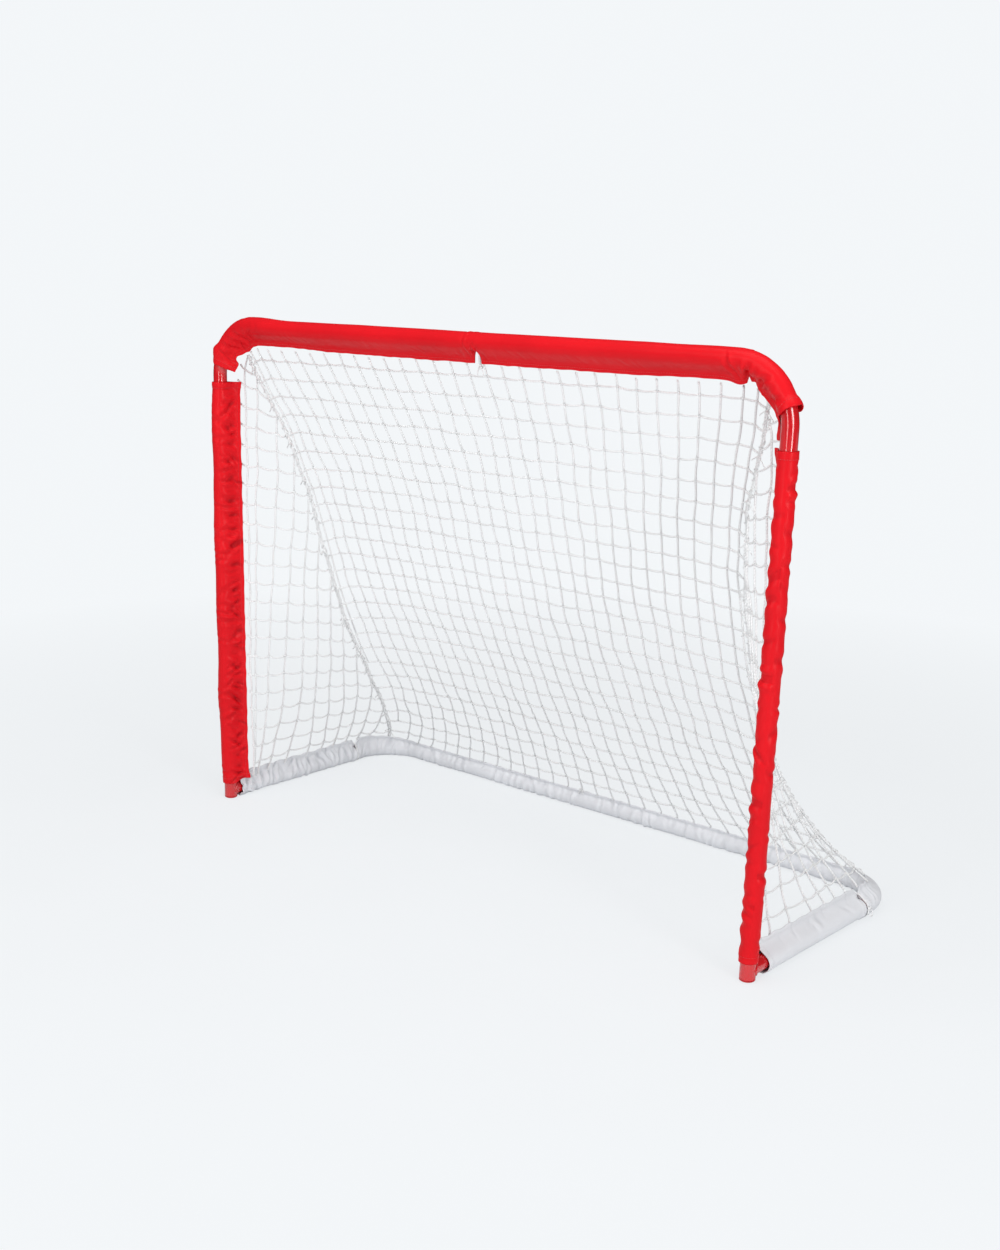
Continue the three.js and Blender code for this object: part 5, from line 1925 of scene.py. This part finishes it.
# ---- the ties
@dataclass
class Ties:
    """Loops of cord that hold the net and the sleeves at the joints and rear corners."""

    sizes: GoalSizes
    front: Cloth
    rear: Cloth
    finishes: Finishes
    cord: float = 0.00085
    sides: int = 7

    def knot(self, centre: Array, x: Array, y: Array, size: float) -> Piece:
        """A pulled-tight knot: a closed trefoil of cord.

        The curve is (sin t + 2 sin 2t, cos t - 2 cos 2t, -1.3 sin 3t), scaled to the size.

        Args:
            centre: Its place.
            x: Its first direction.
            y: Its second direction, square to the first.
            size: Its half width.

        Returns:
            The knot.
        """
        t = turns(72)
        z = np.cross(x, y)
        flat = np.stack([np.sin(t) + 2 * np.sin(2 * t), np.cos(t) - 2 * np.cos(2 * t),
                         -1.3 * np.sin(3 * t)], -1)
        path = centre + (flat @ np.stack([x, y, z])) * size / 3
        return sweep("knot", path[None], self.cord, unit(x + 0.7 * y + 0.4 * z), self.sides, True)

    def tails(self, centre: Array, x: Array, y: Array, length: float) -> Piece:
        """Two loose ends that leave a knot and fall.

        Args:
            centre: Place of the knot.
            x: The way that the ends part.
            y: The way that they lean.
            length: How far they fall.

        Returns:
            Both ends as one piece.
        """
        t = np.linspace(0, 1, 12)[:, None]
        both = []
        for k in (-1.0, 1.0):
            apart = x * k * length * 0.5 * np.sin(t * 1.4)
            lean = y * 0.3 * length * t * (1 + k * 0.3)
            both.append(centre + apart - UP * length * t**2 + lean)
        return sweep("tails", np.stack(both), self.cord, unit(x + y), self.sides)

    def notch(self, name: str, cloth: Cloth, distance: float, node: str,
              stray: float = 0.0) -> None:
        """A tie in a notch of a sleeve, from the tube to the net's edge.

        Args:
            name: The piece's name.
            cloth: The sleeve's cloth.
            distance: Place along the bar.
            node: The CAD node that it stands for.
            stray: How far it strays along the bar for each metre away from the tube.
        """
        at = cloth.bar.at(np.array([distance]))
        out = at.around(cloth.flap_angle(at.turn))[0]
        across = np.cross(at.along[0], out)
        near = cloth.radius - 0.0014 + self.cord
        far = float(cloth.reach(at.turn)[0]) + 0.0015
        t = turns(48)
        pieces = []
        for lean, wide in ((-0.0008, 0.0020), (0.0010, 0.0016)):
            x = (near + far) / 2 + (far - near) / 2 * np.cos(t)
            path = at.point[0] + out * x[:, None] + across * (wide * np.sin(t))[:, None]
            aside = lean + stray * (x - near) + 0.0006 * np.sin(2 * t)
            path = path + at.along[0] * aside[:, None]
            pieces.append(sweep("loop", path[None], self.cord, at.along[0], self.sides, True))
        middle = at.point[0] + out * far + at.along[0] * stray * (far - near)
        pieces.append(self.knot(middle, at.along[0], out, 0.0042))
        pieces.append(self.knot(middle + out * 0.003, across, at.along[0], 0.0034))
        pieces.append(self.tails(middle, at.along[0], out, 0.012))
        place(join(name, pieces), self.finishes.cord, "net_yarn", node)

    def corner(self, side: Side) -> None:
        """Two turns round the base tube in the slot between two sleeves, with a bow.

        Args:
            side: Which side.
        """
        s = self.sizes
        bar = s.bar(Bar.BASE)
        distance = side.value * s.behind_post(s.rear_y - s.front_y - s.tie_setback)
        at = bar.at(np.array([distance]))
        turn = np.linspace(0, 4 * np.pi, 97)
        rear = self.rear.bar.at(np.array([distance]))
        flap = self.rear.flap_angle(rear.turn)[0]
        off = np.abs((turn - flap + np.pi) % (2 * np.pi) - np.pi)
        ring = self.rear.radius + self.cord + 0.0002 + 0.0065 * np.exp(-((off / 0.42) ** 2))
        round_it = rear.around(turn[:, None])[:, 0]
        aside = at.along[0] * (turn / (4 * np.pi) - 0.5)[:, None] * 0.0034
        path = rear.point[0] + round_it * ring[:, None] + aside
        path[:, 2] = np.maximum(path[:, 2], self.cord + 0.0002)
        pieces = [sweep("coil", path[None], self.cord, at.along[0], self.sides)]
        outside = -at.inward[0]
        base = at.point[0] + outside * (self.rear.radius + self.cord + 0.001) + UP * 0.002
        pieces.append(self.knot(base, at.along[0], UP, 0.0040))
        t = np.linspace(0, 2 * np.pi, 40)[:-1, None]
        bow = base + outside * (0.006 * (1 - np.cos(t)) / 2)
        bow = bow + at.along[0] * (0.006 * np.sin(t)) - UP * (0.012 * (1 - np.cos(t)) / 2)
        pieces.append(sweep("bow", bow[None], self.cord, unit(outside + UP), self.sides, True))
        place(join(f"corner_cord_{side.word}", pieces), self.finishes.cord, "net_yarn",
              f"corner_tie_{side.word}")

    def build(self) -> None:
        """Builds the four ties."""
        setback = self.sizes.button_setback
        self.notch("crossbar_cord_tie", self.front, setback, "crossbar_tie", -0.30)
        self.notch("rear_cord_tie", self.rear, self.sizes.rear_joint_x - setback, "rear_tie")
        for side in Side:
            self.corner(side)


# ---- the studio
@dataclass(frozen=True)
class Lamp:
    """A soft rectangular lamp that looks at a point."""

    name: str
    place: Triple
    target: Triple
    size: tuple[float, float]
    power: float

    def build(self) -> None:
        """Hangs the lamp."""
        data = bpy.data.lights.new(self.name, "AREA")
        data.shape = "RECTANGLE"
        data.size, data.size_y = self.size
        data.energy = self.power
        lamp = bpy.data.objects.new(self.name, data)
        lamp.location = self.place
        aim = Vector(self.target) - Vector(self.place)
        lamp.rotation_euler = aim.to_track_quat("-Z", "Y").to_euler()
        bpy.context.scene.collection.objects.link(lamp)


@dataclass(frozen=True)
class Studio:
    """Pale floor, soft lamps and the camera of the photograph."""

    yaw: float = 43.118
    pitch: float = 17.438
    roll: float = 0.627
    focal_pixels: float = 1609.65
    eye: Triple = (1.78339, -2.22484, 1.07474)
    centre_pixels: tuple[float, float] = (420.0, 750.0)
    image: tuple[float, float] = (1000.0, 1250.0)
    sensor: float = 36.0
    floor_size: float = 14.0
    floor_gap: float = 0.0004
    pale: Triple = (0.90, 0.925, 0.945)
    floor_glow: float = 0.78
    world_light: float = 0.36
    world_gloss: float = 0.07

    def camera(self) -> None:
        """Sets the camera from its yaw, pitch, roll, focal length and centre."""
        yaw, pitch, roll = (math.radians(a) for a in (self.yaw, self.pitch, self.roll))
        level = math.cos(pitch)
        ahead = Vector((-math.sin(yaw) * level, math.cos(yaw) * level, -math.sin(pitch)))
        right = ahead.cross(Vector(UP)).normalized()
        up = right.cross(ahead)
        x = right * math.cos(roll) + up * math.sin(roll)
        y = up * math.cos(roll) - right * math.sin(roll)
        data = bpy.data.cameras.new("camera")
        long_side = max(self.image)
        data.sensor_width = self.sensor
        data.lens = self.focal_pixels * self.sensor / long_side
        data.shift_x = (self.image[0] / 2 - self.centre_pixels[0]) / long_side
        data.shift_y = (self.centre_pixels[1] - self.image[1] / 2) / long_side
        data.clip_start, data.clip_end = 0.05, 60.0
        camera = bpy.data.objects.new("camera", data)
        aim = Matrix((x, y, -ahead)).transposed().to_4x4()
        camera.matrix_world = Matrix.Translation(self.eye) @ aim
        bpy.context.scene.collection.objects.link(camera)
        bpy.context.scene.camera = camera

    def floor(self) -> None:
        """Lays a pale floor that keeps the shadow and looks bright to the camera."""
        half, low = self.floor_size / 2, -self.floor_gap
        corners = np.array([[-half, -half, low], [half, -half, low], [half, half, low],
                            [-half, half, low]])
        piece = new_piece("floor", corners, np.array([[0, 1, 2, 3]]), smooth=False)
        g = Graph("pale_floor")
        grain = g.ramp(g.noise(3.0, 2.0), 0.3, 0.7, 0.0, 1.0)
        g.set(Base_Color=g.mix(grain, tone(self.pale, 0.88), tone(self.pale, 0.91)), Roughness=0.9)
        g.set(Specular_IOR_Level=0.1)
        path = g.add("ShaderNodeLightPath").outputs
        seen = g.math("MAXIMUM", path["Is Camera Ray"], path["Is Transmission Ray"])
        glow = g.add("ShaderNodeEmission", {"Color": tone(self.pale), "Strength": 1.0}).outputs[0]
        away = g.add("ShaderNodeVectorMath", {"Vector": g.here}, operation="LENGTH")
        share = g.ramp(away.outputs["Value"], 0.9, 2.4, self.floor_glow, 1.0)
        mixed = g.add("ShaderNodeMixShader", {0: g.math("MULTIPLY", seen, share),
                                              1: g.shader.outputs[0], 2: glow})
        g.feed(g.nodes["Material Output"].inputs["Surface"], mixed.outputs[0])
        piece.data.materials.append(g.material)

    def world(self) -> None:
        """Lights the room evenly, pale to the camera and dim in a gloss."""
        world = bpy.data.worlds.new("studio")
        bpy.context.scene.world = world
        world.use_nodes = True
        tree = world.node_tree
        light = tree.nodes["Background"]
        light.inputs["Color"].default_value = (1.0, 1.0, 1.0, 1.0)
        light.inputs["Strength"].default_value = self.world_light
        pale = tree.nodes.new("ShaderNodeBackground")
        pale.inputs["Color"].default_value = (*self.pale, 1.0)
        dim = tree.nodes.new("ShaderNodeBackground")
        dim.inputs["Strength"].default_value = self.world_gloss
        path = tree.nodes.new("ShaderNodeLightPath")
        first = light.outputs[0]
        for ray, other in (("Is Glossy Ray", dim), ("Is Camera Ray", pale)):
            mix = tree.nodes.new("ShaderNodeMixShader")
            tree.links.new(path.outputs[ray], mix.inputs[0])
            tree.links.new(first, mix.inputs[1])
            tree.links.new(other.outputs[0], mix.inputs[2])
            first = mix.outputs[0]
        tree.links.new(first, tree.nodes["World Output"].inputs["Surface"])

    def lamps(self) -> None:
        """Hangs large soft lamps overhead, in front and to the right, and two tall strips."""
        middle = (0.0, 0.0, 0.45)
        for lamp in (Lamp("overhead", (0.3, -0.7, 3.1), middle, (2.6, 1.8), 38.5),
                     Lamp("front_key", (-0.6, -3.6, 2.3), middle, (2.4, 2.0), 38.0),
                     Lamp("right_fill", (3.4, -1.4, 1.8), middle, (1.6, 1.8), 24.0),
                     Lamp("right_strip", (3.15, -1.22, 1.0), (0.6, -0.24, 0.8), (0.50, 1.6), 24.0),
                     Lamp("front_strip", (0.66, -3.06, 1.0), (-0.6, -0.24, 0.8), (0.40, 1.6),
                          12.0)):
            lamp.build()

    def build(self) -> None:
        """Sets up the whole studio."""
        self.camera()
        self.floor()
        self.world()
        self.lamps()
        bpy.context.scene.view_settings.view_transform = "Standard"


# ---- the goal
@dataclass
class Goal:
    """The goal as a whole: frame, sleeves, net and ties."""

    sizes: GoalSizes
    finishes: Finishes
    sleeve_short: float = 0.022
    post_bottom: float = 0.032
    tie_slot: float = 0.0006
    front: Cloth = field(init=False)
    rear: Cloth = field(init=False)

    def __post_init__(self) -> None:
        """Works out the cloths from the sizes."""
        s = self.sizes
        loose = s.base_cloth_radius
        self.front = Cloth(s.bar(Bar.FRONT), s.cloth_radius, (26.0, 48.0), (0.028, 0.030), s.tube)
        self.rear = Cloth(s.bar(Bar.BASE, loose), loose, (64.0, 75.0), (0.008, 0.020),
                          s.tube + abs(s.base_z - loose))

    def front_sleeves(self) -> None:
        """Builds the three red sleeves."""
        s, f = self.sizes, self.finishes
        end = s.half_straight + s.bar(Bar.FRONT).corner - self.sleeve_short
        bend = s.half_straight
        CrossbarSleeve("cloth_crossbar_sleeve", self.front, -end, end, seed=11, folds=(SMOOTH,),
                       bend=bend, fine_places=(CrossbarSleeve.arch_at, bend + 0.019,
                                               -bend - 0.096)).build(
            f.red_cloth, f.red_thread, "red_cloth", "crossbar_sleeve")
        for side in Side:
            k = side.value
            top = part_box(f"post_sleeve_{side.word}")[1].z
            if side is Side.LEFT:
                loose, turned, share, folds = 0.0048, 0.0, 0.6, (DIMPLES, ARCS)
            else:
                loose, turned, share, folds = 0.0006, 18.0, 0.75, (RIPPLES, WRAPS, GATHERS)
            PostSleeve(f"cloth_post_sleeve_{side.word}", self.front, k * s.at_height(top),
                       k * s.at_height(self.post_bottom), seed=30 + k, folds=folds,
                       outer_slack=loose, top_turn=turned, round_share=share, step=0.0018).build(
                f.red_cloth, f.red_thread, "red_cloth", f"post_sleeve_{side.word}")

    def base_sleeves(self) -> None:
        """Builds the three white sleeves."""
        s, f = self.sizes, self.finishes
        deep = s.rear_y - s.front_y
        slot_rear = s.behind_post(deep - s.tie_setback + self.tie_slot / 2)
        slot_front = s.behind_post(deep - s.tie_setback - self.tie_slot / 2)
        BaseSleeve("cloth_base_sleeve_rear", self.rear, -slot_rear, slot_rear, seed=50,
                   folds=(HUNG,), scallop=0.0008, seam_width=0.005,
                   button_at=s.rear_joint_x - s.button_setback, tied_both=True).build(
            f.white_cloth, f.white_thread, "white_cloth", "base_sleeve_rear")
        for side in Side:
            k = side.value
            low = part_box(f"base_sleeve_{side.word}")[0]
            gathered = 1.0 if side is Side.LEFT else 0.0
            BaseSleeve(f"cloth_base_sleeve_{side.word}", self.rear, k * slot_front,
                       k * s.behind_post(low.y - s.front_y), seed=60 + k,
                       folds=(CRUMPLED if gathered else SOFT,), scallop=0.0010 + 0.0006 * gathered,
                       billow=0.0008 + 0.0008 * gathered, slack_room=0.0005,
                       gathered=gathered).build(
                f.white_cloth, f.white_thread, "white_cloth", f"base_sleeve_{side.word}")

    def net(self) -> None:
        """Builds the net and its lacing."""
        s = self.sizes
        seam = SeamShape(place=s.half_straight + s.bar(Bar.FRONT).corner * 0.5)
        Net(s, self.front, self.rear, seam, self.finishes).build()

    def build(self) -> None:
        """Builds the goal from the metal outwards."""
        SteelFrame(self.sizes, self.finishes).build()
        self.front_sleeves()
        self.base_sleeves()
        self.net()
        Ties(self.sizes, self.front, self.rear, self.finishes).build()


def main() -> None:
    """Builds the studio and the goal."""
    logging.basicConfig(level=logging.INFO, format="%(name)s: %(message)s")
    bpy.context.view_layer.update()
    Studio().build()
    sizes = GoalSizes.from_frame()
    log.info("sizes: %s", sizes)
    Goal(sizes, Finishes()).build()
    bpy.context.view_layer.update()


if __name__ == "__main__":
    main()
